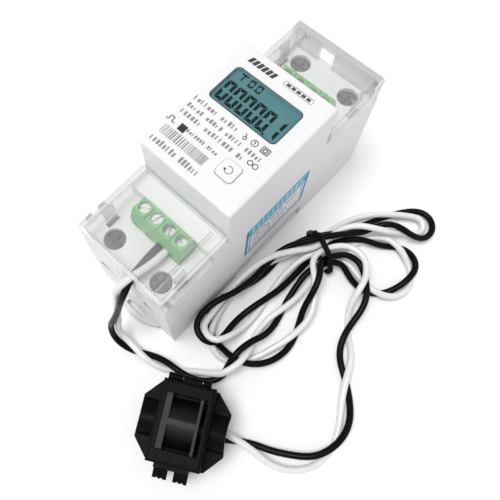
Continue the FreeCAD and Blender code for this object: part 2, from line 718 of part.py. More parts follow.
def supply_parts():
    """Tall parts on the main board: capacitor, transformer, varistor and chip."""
    floor = MAIN_BOARD_TOP + SEAT_GAP
    can = rod(CAN_R, Vector(*CAN_AT, floor), Vector(*CAN_AT, floor + CAN_TALL))
    block = pad(*TRANSFORMER_AT, TRANSFORMER_LONG, TRANSFORMER_WIDE, 1.0, floor, floor + TRANSFORMER_TALL)
    disc_x, disc_y = VARISTOR_AT
    half = VARISTOR_THICK / 2
    disc = rod(VARISTOR_R, Vector(disc_x, disc_y - half, floor + VARISTOR_R),
               Vector(disc_x, disc_y + half, floor + VARISTOR_R))
    chip_x, chip_y = CHIP_AT
    chip = box(chip_x - CHIP_LONG / 2, chip_x + CHIP_LONG / 2, chip_y - CHIP_WIDE / 2, chip_y + CHIP_WIDE / 2,
               floor, floor + CHIP_TALL)
    return Part.makeCompound([can, block, disc, chip])


BACKLIGHT_TOP = DISPLAY_BOARD_TOP + SEAT_GAP + BACKLIGHT_THICK


def lcd_backlight():
    return pad(WINDOW_X, WINDOW_Y, LCD_LONG, LCD_WIDE, 1.0, DISPLAY_BOARD_TOP + SEAT_GAP, BACKLIGHT_TOP)


def lcd_glass():
    return pad(WINDOW_X, WINDOW_Y, LCD_LONG, LCD_WIDE, 0.4, BACKLIGHT_TOP + SEAT_GAP, FACE_UNDER - SEAT_GAP)


def display_lens():
    """Clear window glued into the rebate of the face."""
    gap = SEAT_GAP
    return pad(WINDOW_X, WINDOW_Y, WINDOW_LONG - 2 * gap, WINDOW_WIDE - 2 * gap, WINDOW_R - gap,
               FACE_Z - LENS_THICK + gap, FACE_Z)


SWITCH_TOP = DISPLAY_BOARD_TOP + SEAT_GAP + SWITCH_TALL
PLUNGER_TOP = SWITCH_TOP + PLUNGER_TALL


def button_switch():
    body = pad(BUTTON_X, BUTTON_Y, SWITCH_SIZE, SWITCH_SIZE, 0.6, DISPLAY_BOARD_TOP + SEAT_GAP, SWITCH_TOP)
    plunger = rod(PLUNGER_R, Vector(BUTTON_X, BUTTON_Y, SWITCH_TOP - 0.2),
                  Vector(BUTTON_X, BUTTON_Y, PLUNGER_TOP))
    return join(body, plunger)


def push_button():
    """Square key with a retaining flange and a stem that reaches the switch."""
    top = FACE_Z + BUTTON_PROUD
    under = FACE_UNDER - SEAT_GAP
    cap = pad(BUTTON_X, BUTTON_Y, BUTTON_SIZE, BUTTON_SIZE, BUTTON_R, under - BUTTON_FLANGE / 2, top)
    rim = [edge for edge in cap.Edges if edge.BoundBox.ZMin > top - 0.01]
    cap = cap.makeChamfer(BUTTON_PROUD / 2, rim)
    wide = BUTTON_SIZE + 2 * BUTTON_LIP
    flange = pad(BUTTON_X, BUTTON_Y, wide, wide, BUTTON_R, under - BUTTON_FLANGE, under)
    stem_low = PLUNGER_TOP + BUTTON_TRAVEL + 2 * SEAT_GAP
    stem = rod(PLUNGER_R, Vector(BUTTON_X, BUTTON_Y, stem_low), Vector(BUTTON_X, BUTTON_Y, under))
    return join(cap, flange, stem)


def pulse_light():
    """Light pipe behind the pulse opening, down to its lamp."""
    half = PULSE_SIZE / 2
    rim_half = half + PULSE_RIM
    under = FACE_UNDER - SEAT_GAP
    low = DISPLAY_BOARD_TOP + SEAT_GAP + LAMP_TALL + SEAT_GAP
    pipe = box(PULSE_X - half, PULSE_X + half, PULSE_Y - half, PULSE_Y + half, low, FACE_Z - SEAT_GAP)
    rim = box(PULSE_X - rim_half, PULSE_X + rim_half, PULSE_Y - rim_half, PULSE_Y + rim_half,
              under - PULSE_RIM, under)
    return join(pipe, rim)


def pulse_lamp():
    low = DISPLAY_BOARD_TOP + SEAT_GAP
    return box(PULSE_X - LAMP_LONG / 2, PULSE_X + LAMP_LONG / 2, PULSE_Y - LAMP_WIDE / 2,
               PULSE_Y + LAMP_WIDE / 2, low, low + LAMP_TALL)


# Clear covers
def terminal_cover():
    """Clear lid of the front bay: sides, front wall with a wire gate, seal slot, rib and snap legs."""
    half = COVER_HALF
    low = DECK_Z + SEAT_GAP
    back = -FACE_HALF - FIT_GAP
    under = COVER_TOP_Z - COVER_WALL
    outer = box(-half, half, -LENGTH_HALF, back, low, COVER_TOP_Z)
    soft = []
    for edge in outer.Edges:
        bounds = edge.BoundBox
        at_front = bounds.YMax < -LENGTH_HALF + 0.01
        at_top = bounds.ZMin > COVER_TOP_Z - 0.01
        if (at_front and (at_top or bounds.ZLength > 1)) or (at_top and bounds.YLength > 1):
            soft.append(edge)
    outer = outer.makeFillet(COVER_EDGE_R, soft)
    hollow = box(-half + COVER_WALL, half - COVER_WALL, -LENGTH_HALF + COVER_WALL, back + 1, low - 1, under)
    step = box(-half - 1, half + 1, back - LEDGE_LENGTH, back + 1, low - 1, LEDGE_Z + SEAT_GAP)
    gate = box(GATE_X - GATE_WIDTH / 2, GATE_X + GATE_WIDTH / 2, -LENGTH_HALF - 1,
               -LENGTH_HALF + 2 * COVER_WALL, low - 1, GATE_TOP_Z)
    seal_x = -half + SEAL_SIDE
    seal_y = -LENGTH_HALF + SEAL_END
    slot = box(seal_x - SEAL_WIDE / 2, seal_x + SEAL_WIDE / 2, seal_y - SEAL_LONG / 2, seal_y + SEAL_LONG / 2,
               under - 1, COVER_TOP_Z + 1)
    neck = box(-half - 1, seal_x, seal_y - SEAL_NECK / 2, seal_y + SEAL_NECK / 2, under - 1, COVER_TOP_Z + 1)
    shell = outer.cut([hollow, step, gate, slot, neck])
    rib_x = half - RIB_SIDE
    rib = box(rib_x - RIB_THICK / 2, rib_x + RIB_THICK / 2, -LENGTH_HALF + COVER_WALL / 2, back - COVER_WALL,
              under - RIB_DEEP, under + COVER_WALL / 2)
    return join(shell, rib, *cover_legs(0, DECK_Z - LEG_DEPTH, under + COVER_WALL / 2))


# Seal label
def seal_label():
    skin = slab(-LABEL_THICK, SEAM_Z - 4, DECK_Z).cut(slab(0, SEAM_Z - 4, DECK_Z))
    return skin.common(box(0, WIDTH, LABEL_Y, LABEL_Y + LABEL_LONG, LABEL_Z, LABEL_Z + LABEL_TALL))


# Current transformer
CT_CAVITY_R = CT_CORE_R + CT_CORE_GAP
CT_SLEEVE_R = CT_BORE_R + CT_SLEEVE_WALL
CT_PARTING = CT_CAVITY_R + CT_ROOF
CT_TALL = 2 * CT_PARTING
CT_SIDE_V = CT_CAVITY_R + CT_SIDE_WALL
CT_CAVITY_U = CT_CORE_HALF + CT_CORE_END
CT_END_U = CT_CAVITY_U + CT_END_WALL
CT_FLANGE_U = CT_END_U + CT_SLEEVE_LONG
CT_HINGE_V = CT_SIDE_V + CT_HINGE_R + FIT_GAP
CT_FAR = 3 * CT_TALL


def placed(shape):
    """Moves a piece drawn in the transformer's own axes to its place beside the meter."""
    copy = shape.copy()
    copy.rotate(Vector(0, 0, 0), Vector(0, 0, 1), CT_TURN)
    copy.translate(CT_PLACE)
    return copy


def ct_point(u, v, w):
    turn = math.radians(CT_TURN)
    x = u * math.cos(turn) - v * math.sin(turn)
    y = u * math.sin(turn) + v * math.cos(turn)
    return CT_PLACE + Vector(x, y, w)


def along_u(radius, u0, u1, v=0, w=CT_PARTING):
    return rod(radius, Vector(u0, v, w), Vector(u1, v, w))


def ct_flange(w0, w1):
    """Eight-sided plate round the mouth of both sleeves."""
    u, neck = CT_FLANGE_U, CT_END_U + CT_FLANGE_NECK
    v, flat = CT_SIDE_V, CT_FLAT_V
    return prism_z([(u, -flat), (u, flat), (neck, v), (-neck, v), (-u, flat), (-u, -flat), (-neck, -v),
                    (neck, -v)], w0, w1)


def ct_mouths(near, flange, far):
    """Side view that a half's sleeve stays inside: upright at the flange, then leaning back."""
    end = CT_FLANGE_U
    back = end - CT_MOUTH_SLANT * abs(far - flange)
    return prism_y([(-end, near), (-end, flange), (-back, far), (back, far), (end, flange), (end, near)],
                   -CT_FAR, CT_FAR)


def ct_half(low, high, outer_w, flange_low):
    """One half of the case: band, sleeve and flange, with the core's room and the bore cut out."""
    band = box(-CT_END_U, CT_END_U, -CT_SIDE_V, CT_SIDE_V, low, high)
    rim = [edge for edge in band.Edges if abs(edge.BoundBox.ZMin - outer_w) < 0.01
           and abs(edge.BoundBox.ZMax - outer_w) < 0.01]
    band = band.makeChamfer(CT_CHAMFER, rim)
    flange = flange_low + CT_FLANGE_THICK if outer_w > flange_low else flange_low
    sleeve = along_u(CT_SLEEVE_R, -CT_FLANGE_U, CT_FLANGE_U)
    sleeve = sleeve.common(ct_mouths(low + high - outer_w, flange, outer_w))
    case = join(band, sleeve, ct_flange(flange_low, flange_low + CT_FLANGE_THICK))
    room = along_u(CT_CAVITY_R, -CT_CAVITY_U, CT_CAVITY_U)
    room = room.cut(along_u(CT_SLEEVE_R, -CT_CAVITY_U, CT_CAVITY_U))
    return case.cut([room, along_u(CT_BORE_R, -CT_FLANGE_U - 1, CT_FLANGE_U + 1)])


def ct_knuckle(u0, u1, w0, w1):
    """Hinge eye and the web that joins it to the case."""
    eye = along_u(CT_HINGE_R, u0, u1, CT_HINGE_V)
    web = box(u0, u1, CT_SIDE_V - CT_SIDE_WALL / 4, CT_HINGE_V, w0, w1)
    return [eye, web]


def ct_lower_shell():
    case = ct_half(0, CT_PARTING, 0, CT_PARTING - CT_FLANGE_THICK)
    eyes = ct_knuckle(-KNUCKLE_LEFT, -KNUCKLE_IN, CT_PARTING - CT_HINGE_R, CT_PARTING)
    eyes += ct_knuckle(KNUCKLE_IN, KNUCKLE_RIGHT, CT_PARTING - CT_HINGE_R, CT_PARTING)
    pin = along_u(CT_PIN_R + CT_PIN_HOLD, -KNUCKLE_LEFT - 1, KNUCKLE_RIGHT + 1, CT_HINGE_V)
    return placed(join(case, *eyes).cut(pin))


def ct_upper_shell():
    low = CT_PARTING + CT_OPEN_GAP
    case = ct_half(low, CT_TALL, CT_TALL, low)
    window = box(-CT_CAVITY_U, CT_CAVITY_U, -CT_WINDOW_V, CT_WINDOW_V, CT_PARTING + CT_CORE_IN_R, CT_TALL + 1)
    case = case.cut(window)
    reach = KNUCKLE_IN - KNUCKLE_GAP
    case = join(case, *ct_knuckle(-reach, reach, low, CT_PARTING + CT_HINGE_R))
    pin = along_u(CT_PIN_R + CT_PIN_GAP, -KNUCKLE_LEFT, KNUCKLE_RIGHT, CT_HINGE_V)
    return placed(case.cut(pin))


def ct_ring(inner, outer, half):
    return along_u(outer, -half, half).cut(along_u(inner, -half - 1, half + 1))


def ct_lower_core():
    keep = box(-CT_FAR, CT_FAR, -CT_FAR, CT_FAR, -CT_FAR, CT_PARTING)
    return placed(ct_ring(CT_CORE_IN_R, CT_CORE_R, CT_CORE_HALF).common(keep))


def ct_upper_core():
    keep = box(-CT_FAR, CT_FAR, -CT_FAR, CT_FAR, CT_PARTING + CT_OPEN_GAP, CT_FAR)
    return placed(ct_ring(CT_CORE_IN_R, CT_CORE_R, CT_CORE_HALF).common(keep))


def ct_winding():
    """Secondary winding round the lower half ring, as a sector that encloses the ferrite."""
    outer = ct_ring(CT_CORE_IN_R - WINDING_THICK, CT_CORE_R + CT_CORE_GAP / 2, CT_CORE_HALF + WINDING_THICK)
    side = CT_FAR * math.sin(math.radians(WINDING_ANGLE))
    drop = CT_FAR * math.cos(math.radians(WINDING_ANGLE))
    low = CT_PARTING - drop
    wedge = prism_x([(0, CT_PARTING), (-side, low), (0, -2 * CT_FAR), (side, low)], -CT_FAR, CT_FAR)
    gap = SEAT_GAP
    return placed(outer.common(wedge).cut(ct_ring(CT_CORE_IN_R - gap, CT_CORE_R + gap, CT_CORE_HALF + gap)))


def ct_core_retainer():
    """Grey H-shaped clip that holds the upper ferrite in the window."""
    low = CT_PARTING + CT_CORE_R + SEAT_GAP
    high = low + RETAINER_THICK
    u = CT_CAVITY_U - SEAT_GAP
    v = CT_WINDOW_V - SEAT_GAP
    left = box(-u, -u + RETAINER_BAR, -v, v, low, high)
    right = box(CT_CORE_HALF - RETAINER_THIN, CT_CORE_HALF, -v, v, low, high)
    middle = box(-u, CT_CORE_HALF, -RETAINER_MIDDLE / 2, RETAINER_MIDDLE / 2, low, high)
    return placed(join(left, middle, right))


def ct_hinge_pin():
    return placed(along_u(CT_PIN_R, -KNUCKLE_LEFT, KNUCKLE_RIGHT, CT_HINGE_V))


def ct_latch():
    """Snap tongue of the lid with two thumb prongs."""
    inner = -CT_SIDE_V - LATCH_GAP
    outer = inner - LATCH_THICK
    end = -CT_SIDE_V - LATCH_REACH
    low, high = CT_PARTING - LATCH_BELOW, CT_PARTING + LATCH_ABOVE
    tongue = box(-LATCH_LEFT, LATCH_RIGHT, outer, inner, low, high)
    bridge = box(-LATCH_LEFT, LATCH_RIGHT, outer, -CT_SIDE_V, CT_PARTING + CT_FLANGE_THICK + LATCH_GAP, high)
    prong_low, prong_high = CT_PARTING - PRONG_BELOW, CT_PARTING + PRONG_ABOVE
    profile = [(inner, prong_low), (inner, prong_high + LATCH_THICK), (end + PRONG_TOOTH_R, prong_high),
               (end, prong_high - PRONG_TOOTH_R), (end, prong_low)]
    middle = (LATCH_RIGHT - LATCH_LEFT) / 2
    first = prism_x(profile, -LATCH_LEFT, middle - PRONG_APART / 2)
    second = prism_x(profile, middle + PRONG_APART / 2, LATCH_RIGHT)
    wide = (LATCH_LEFT + LATCH_RIGHT - PRONG_APART) / 2
    teeth = []
    for start in (-LATCH_LEFT, middle + PRONG_APART / 2):
        for share in (1, 2):
            u = start + wide * share / 3
            teeth.append(rod(PRONG_TOOTH_R, Vector(u, end, prong_low - 1), Vector(u, end, prong_high + 1)))
    return placed(join(tongue, bridge, first, second).cut(teeth))


GLAND_FACE = CT_END_U + SEAT_GAP + GLAND_LONG


def ct_gland():
    """Collar that the transformer's lead leaves through."""
    return placed(along_u(GLAND_R, CT_END_U + SEAT_GAP, GLAND_FACE, 0, CORD_LOW + BACK_DEPTH))


# Twisted pair
def arc_between(before, corner, after, share=0.45):
    """Tangent arc at a corner of the route: its two ends, its middle and its radius."""
    back = before.sub(corner)
    ahead = after.sub(corner)
    run = min(back.Length, ahead.Length)
    back.normalize()
    ahead.normalize()
    half_turn = (math.pi - back.getAngle(ahead)) / 2
    cut = share * run
    radius = cut / math.tan(half_turn)
    bisector = back.add(ahead)
    bisector.normalize()
    centre_gap = math.hypot(radius, cut)
    middle = corner.add(bisector.multiply(centre_gap - radius))
    return corner.add(back.multiply(cut)), middle, corner.add(ahead.multiply(cut)), radius


def route_wire(points):
    """Straight runs joined by tangent arcs, and the radii of the arcs."""
    edges = []
    radii = []
    at = points[0]
    for before, corner, after in zip(points, points[1:], points[2:]):
        start, middle, end, radius = arc_between(before, corner, after)
        if at.distanceToPoint(start) > 0.001:
            edges.append(Part.makeLine(at, start))
        edges.append(Part.Arc(start, middle, end).toShape())
        radii.append(radius)
        at = end
    edges.append(Part.makeLine(at, points[-1]))
    return Part.Wire(edges), radii


def cord_tube(points, name):
    wire, radii = route_wire(points)
    start = points[0]
    ahead = points[1].sub(start)
    ring = Part.Wire([Part.makeCircle(CORD_D / 2, start, ahead)])
    tube = wire.makePipeShell([ring], True, False)
    section = math.pi * CORD_D ** 2 / 4
    print(name, "length", round(wire.Length, 1), "radii", [round(r, 1) for r in radii],
          "volume share", round(tube.Volume / (section * wire.Length), 4))
    return tube, wire


def tie_pass(slot, lift, ahead):
    """A point of a pass under the tie: sideways slot, lift, and distance along the bundle."""
    turn = math.radians(TIE_ANGLE)
    along = Vector(math.cos(turn), math.sin(turn), 0)
    side = Vector(math.sin(turn), -math.cos(turn), 0)
    height = CORD_LOW + TIE_LIFT + lift * TIE_RISE
    return TIE_AT + side * (slot * TIE_STEP) + along * ahead + Vector(0, 0, height)


def low(x, y):
    return Vector(x, y, CORD_LOW)


def high(x, y):
    return Vector(x, y, CORD_HIGH)


def midway(first, second):
    return (first + second) * 0.5


def before_front(x, out, z):
    """A point of the route this far out from the housing's front end."""
    return Vector(x, -LENGTH_HALF - out, z)


BLOCK_FACE_Y = -(BLOCK_BACK + BLOCK_DEEP)
LEAD_POINTS = [
    Vector(GATE_X, BLOCK_FACE_Y - SEAT_GAP, LEAD_Z),
    before_front(GATE_X, -7.8, LEAD_Z),
    before_front(3.6, 3.6, 39.0),
    before_front(1.4, 7.4, 17.6),
    before_front(1.4, 14.2, CORD_LOW),
    low(23.5, -58.6),
    Vector(38.2, -50.2, CORD_LOW + 1.2),
]
HANK_POINTS = [
    Vector(38.2, -50.2, CORD_LOW + 1.2),
    high(39.0, -42.6),
    high(38.9, -36.0),
    low(38.7, -25.5),
    low(38.4, -8.0),
    tie_pass(1, 0, -5.0),
    tie_pass(1, 0, 6.4),
    low(51.2, 10.8),
    low(57.8, 11.2),
    low(63.2, 15.2),
    low(65.4, 22.0),
    low(63.0, 29.2),
    low(57.0, 32.2),
    low(50.2, 30.6),
    low(43.8, 26.0),
    low(38.4, 18.6),
    tie_pass(0, 0, 3.5),
    tie_pass(0, 0, -3.5),
    low(31.9, -1.5),
    low(32.0, -12.0),
    low(31.6, -22.0),
    low(31.0, -29.5),
    high(30.9, -39.4),
    high(27.9, -42.2),
    high(23.9, -42.2),
    high(20.9, -39.4),
    high(20.7, -31.0),
    high(22.0, -22.6),
    high(22.7, -13.0),
    Vector(23.6, -4.0, CORD_HIGH + 0.4),
    Vector(27.0, 3.2, CORD_HIGH + 1.1),
    tie_pass(-0.5, 1, -3.5),
    tie_pass(-0.5, 1, 3.5),
    high(36.3, 21.6),
    high(42.2, 27.8),
    high(47.4, 33.8),
    low(57.4, 39.5),
    low(58.3, 44.2),
    low(55.3, 47.6),
    low(50.8, 47.2),
    low(42.8, 38.6),
    low(37.6, 30.4),
    low(33.6, 21.4),
    tie_pass(-1, 0, 3.5),
    tie_pass(-1, 0, -3.5),
    low(25.4, 0.8),
    low(23.9, -8.0),
    low(22.4, -17.0),
    low(21.0, -25.0),
    low(21.2, -33.0),
    low(25.4, -39.6),
    low(32.4, -42.4),
    low(39.6, -40.4),
    low(45.2, -34.0),
    low(48.0, -24.4),
    low(47.2, -16.0),
    Vector(44.9, -8.6, CORD_LOW + 3.2),
    Vector(40.6, -0.2, CORD_HIGH + 2.2),
    tie_pass(0.5, 1, -3.5),
    tie_pass(0.5, 1, 3.5),
    high(41.9, 16.2),
    high(47.6, 16.7),
    high(52.6, 12.6),
    high(55.6, 6.6),
    low(58.4, -2.4),
    low(62.2, -9.8),
]
TAIL_POINTS = [
    low(58.4, -2.4),
    low(62.2, -9.8),
    low(71.8, -21.2),
    low(80.6, -33.0),
    low(80.1, -46.3),
    low(70.7, -55.0),
    ct_point(GLAND_FACE + 10.0, 0, CORD_LOW + BACK_DEPTH),
    ct_point(GLAND_FACE + SEAT_GAP, 0, CORD_LOW + BACK_DEPTH),
]


def cord_routes():
    """The three stretches, cut face to face on the straight middles of shared runs."""
    first_cut = midway(HANK_POINTS[0], LEAD_POINTS[-2])
    last_cut = midway(HANK_POINTS[-1], HANK_POINTS[-2])
    lead = LEAD_POINTS[:-1] + [first_cut]
    hank = [first_cut] + HANK_POINTS[:-1] + [last_cut]
    tail = [last_cut] + TAIL_POINTS[1:]
    return lead, hank, tail


def least_gap(wire, spacing=0.5):
    """Least distance between two turns of one line, less its thickness."""
    count = int(wire.Length / spacing)
    points = wire.discretize(Number=count)
    apart = int(math.pi * CORD_D / spacing)
    least = 1e9
    for i, first in enumerate(points):
        for second in points[i + apart:]:
            least = min(least, first.distanceToPoint(second))
    return least - CORD_D


def cord_tie():
    """Binding wire twice round the bundle, with its knot on the upper side."""
    clear = CORD_D / 2 + FIT_GAP
    outline = []
    for reach in (clear, clear + 2 * TIE_WIRE_R):
        wide = TIE_STEP + reach
        shoulder = TIE_STEP / 2 + 0.6 * reach
        top = TIE_RISE + reach
        right = [(wide - 0.6 * reach, -reach), (wide, -0.4 * reach), (wide, 0.3 * reach), (shoulder, top)]
        outline.append(right + [(-x, z) for x, z in right[::-1]])
    pitch = 2 * TIE_WIRE_R + TIE_APART
    solids = []
    for index in range(TIE_TURNS):
        middle = (index - (TIE_TURNS - 1) / 2) * pitch
        start, end = middle - TIE_WIRE_R, middle + TIE_WIRE_R
        solids.append(prism_y(outline[1], start, end).cut(prism_y(outline[0], start - 1, end + 1)))
    top = TIE_RISE + clear + 2 * TIE_WIRE_R
    x = -TIE_STEP / 2
    solids.append(box(x - TIE_KNOT_R, x + TIE_KNOT_R, -pitch, pitch, top - TIE_WIRE_R, top + TIE_KNOT_R))
    tie = join(*solids)
    tie.rotate(Vector(0, 0, 0), Vector(0, 0, 1), TIE_ANGLE - 90)
    tie.translate(TIE_AT + Vector(0, 0, CORD_LOW + TIE_LIFT))
    return tie


def main():
    os.makedirs("parts", exist_ok=True)
    save(base_housing(), "base_housing")
    save(top_housing(), "top_housing")
    save(din_clip(), "din_clip")
    save(din_clip_spring(), "din_clip_spring")
    for index, (x, y) in enumerate(poles(), 1):
        save(terminal_cage(x, y), "terminal_cage_%d" % index)
        save(terminal_screw(x, y), "terminal_screw_%d" % index)
    save(neutral_busbar(), "neutral_busbar")
    front_bar, rear_bar = line_busbars()
    save(front_bar, "line_busbar_front")
    save(rear_bar, "line_busbar_rear")
    save(current_shunt(), "current_shunt")
    save(busbar_carrier(), "busbar_carrier")
    block = terminal_block()
    screws = block_screws()
    save(block, "front_terminal_block")
    save(screws, "front_block_screws")
    save(turned(block), "rear_terminal_block")
    save(turned(screws), "rear_block_screws")
    save(main_board(), "main_board")
    save(display_board(), "display_board")
    save(board_header(), "board_header")
    save(supply_parts(), "supply_parts")
    save(lcd_backlight(), "lcd_backlight")
    save(lcd_glass(), "lcd_glass")
    save(display_lens(), "display_lens")
    save(button_switch(), "button_switch")
    save(push_button(), "push_button")
    save(pulse_light(), "pulse_light")
    save(pulse_lamp(), "pulse_lamp")
    cover = terminal_cover()
    save(cover, "front_terminal_cover")
    save(turned(cover), "rear_terminal_cover")
    save(seal_label(), "seal_label")
    save(ct_lower_shell(), "ct_lower_shell")
    save(ct_upper_shell(), "ct_upper_shell")
    save(ct_lower_core(), "ct_lower_core")
    save(ct_upper_core(), "ct_upper_core")
    save(ct_winding(), "ct_winding")
    save(ct_core_retainer(), "ct_core_retainer")
    save(ct_hinge_pin(), "ct_hinge_pin")
    save(ct_latch(), "ct_latch")
    save(ct_gland(), "ct_gland")
    lead, hank, tail = cord_routes()
    lead_tube, lead_wire = cord_tube(lead, "cord_lead")
    hank_tube, hank_wire = cord_tube(hank, "cord_hank")
    tail_tube, tail_wire = cord_tube(tail, "cord_tail")
    save(lead_tube, "cord_lead")
    save(hank_tube, "cord_hank")
    save(tail_tube, "cord_tail")
    save(cord_tie(), "cord_tie")
    gap = least_gap(hank_wire)
    print("hank least gap to itself", round(gap, 2), "more than", LEAST_GAP, gap > LEAST_GAP)
    total = lead_wire.Length + hank_wire.Length + tail_wire.Length
    print("pair length in all", round(total, 1))


main()
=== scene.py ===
import json
import math
import random

import bpy
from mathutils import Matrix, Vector


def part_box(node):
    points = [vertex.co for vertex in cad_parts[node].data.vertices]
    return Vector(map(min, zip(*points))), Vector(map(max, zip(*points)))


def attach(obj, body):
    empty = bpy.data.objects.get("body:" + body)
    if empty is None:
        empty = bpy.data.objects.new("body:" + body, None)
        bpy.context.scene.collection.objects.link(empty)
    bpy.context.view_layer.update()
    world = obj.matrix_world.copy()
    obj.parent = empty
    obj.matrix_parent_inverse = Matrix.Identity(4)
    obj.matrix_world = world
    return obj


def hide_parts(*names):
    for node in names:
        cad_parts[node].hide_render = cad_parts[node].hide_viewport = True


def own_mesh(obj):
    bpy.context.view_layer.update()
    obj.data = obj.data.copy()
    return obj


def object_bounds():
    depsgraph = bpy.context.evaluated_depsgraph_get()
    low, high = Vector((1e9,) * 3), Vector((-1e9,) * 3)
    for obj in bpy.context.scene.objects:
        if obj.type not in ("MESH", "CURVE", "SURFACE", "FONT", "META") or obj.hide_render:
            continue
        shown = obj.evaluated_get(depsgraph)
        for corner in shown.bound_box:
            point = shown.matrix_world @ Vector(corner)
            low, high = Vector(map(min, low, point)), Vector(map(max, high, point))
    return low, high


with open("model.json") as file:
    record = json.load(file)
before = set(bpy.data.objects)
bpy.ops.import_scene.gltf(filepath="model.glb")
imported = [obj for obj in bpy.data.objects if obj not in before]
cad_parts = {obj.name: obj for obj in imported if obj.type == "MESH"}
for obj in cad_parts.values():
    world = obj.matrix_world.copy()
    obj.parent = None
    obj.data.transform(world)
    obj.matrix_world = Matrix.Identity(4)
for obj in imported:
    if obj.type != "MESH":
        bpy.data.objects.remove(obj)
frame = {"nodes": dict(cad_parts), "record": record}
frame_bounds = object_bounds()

MM = 0.001
FLOOR_Z = round(frame_bounds[0][2], 6)
X_AXIS, Y_AXIS = Vector((1, 0, 0)), Vector((0, 1, 0))

# Camera, fitted to the photograph
CAMERA_PLACE = Vector((51.973, -65.923, 192.733)) * MM
CAMERA_TURN = (20.5678, 2.5499, 44.0745)
CAMERA_LENS = 40.086
CAMERA_SHIFT = (0.1263, -0.0267)


def make_camera():
    data = bpy.data.cameras.new("camera")
    data.sensor_width = 36
    data.lens = CAMERA_LENS
    data.shift_x, data.shift_y = CAMERA_SHIFT
    data.clip_start = 0.005
    data.clip_end = 10
    camera = bpy.data.objects.new("camera", data)
    camera.location = CAMERA_PLACE
    camera.rotation_euler = [math.radians(turn) for turn in CAMERA_TURN]
    bpy.context.scene.collection.objects.link(camera)
    bpy.context.scene.camera = camera


make_camera()


def corners(node):
    """Low and high corner of a CAD node's box, in millimetres."""
    return [Vector(corner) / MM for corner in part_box(node)]


# Cord values, in millimetres
CORD_LOW = -4.5
CORD_HIGH = 0.6
CORD_D = 4.6
STRAND_D = 2.3
STRAND_SIDES = 14
STRAND_STEP = 0.9           # between two rings of points
CORE_OFFSET = 1.2           # from the route to each core where the two touch
TWIST_EASE = 0.4            # the cores turn this share faster at a crossing, and slower between two
TWIST_SMOOTH = (-4, -2, 0, 2, 4)
TIE_AT = Vector((34.4, 10.0, 0.0))
TIE_ANGLE = math.radians(65.2)
TIE_STEP = 5.2
TIE_RISE = 4.45
TIE_LIFT = 1.35
TIE_GAP = 0.3               # between the strands and the wire
TIE_WIRE_R = 0.6
TIE_SIDES = 10
TIE_WIRE_STEP = 0.5
TIE_SPREAD = 1.65           # how far the two turns run along the bundle
TIE_ARCS = ((-90, 25), (25, 90), (90, 155), (155, 270))     # degrees, at the bundle's four corners
TIE_ARC_STEPS = 8
TIE_FIRST = 22              # the turns start at this point of the loop, where the knot lies
KNOT_WIDE, KNOT_LONG, KNOT_SWAY, KNOT_LIFT = 1.1, 1.0, 0.5, 0.9
KNOT_STEPS = 32
CT_PLACE = Vector((40.9, -68.2, -7.0))
CT_TURN = math.radians(30.56)
GLAND_FACE = 10.25


def ct_point(u, v, w):
    """A point given along the transformer's own axes, in millimetres."""
    x = u * math.cos(CT_TURN) - v * math.sin(CT_TURN)
    y = u * math.sin(CT_TURN) + v * math.cos(CT_TURN)
    return CT_PLACE + Vector((x, y, w))


def tie_point(across, height, ahead):
    """A point at the binding wire, in millimetres: across the bundle, over its lower layer, along it."""
    side = Vector((math.sin(TIE_ANGLE), -math.cos(TIE_ANGLE), 0))
    along = Vector((math.cos(TIE_ANGLE), math.sin(TIE_ANGLE), 0))
    return TIE_AT + side * across + along * ahead + Vector((0, 0, CORD_LOW + TIE_LIFT + height))


def tie_pass(slot, layer, ahead):
    """A point of the route inside the binding wire."""
    return tie_point(slot * TIE_STEP, layer * TIE_RISE, ahead)


def low(x, y):
    """A point of the route on the ground."""
    return Vector((x, y, CORD_LOW))


def high(x, y):
    """A point of the route that lies on another run."""
    return Vector((x, y, CORD_HIGH))


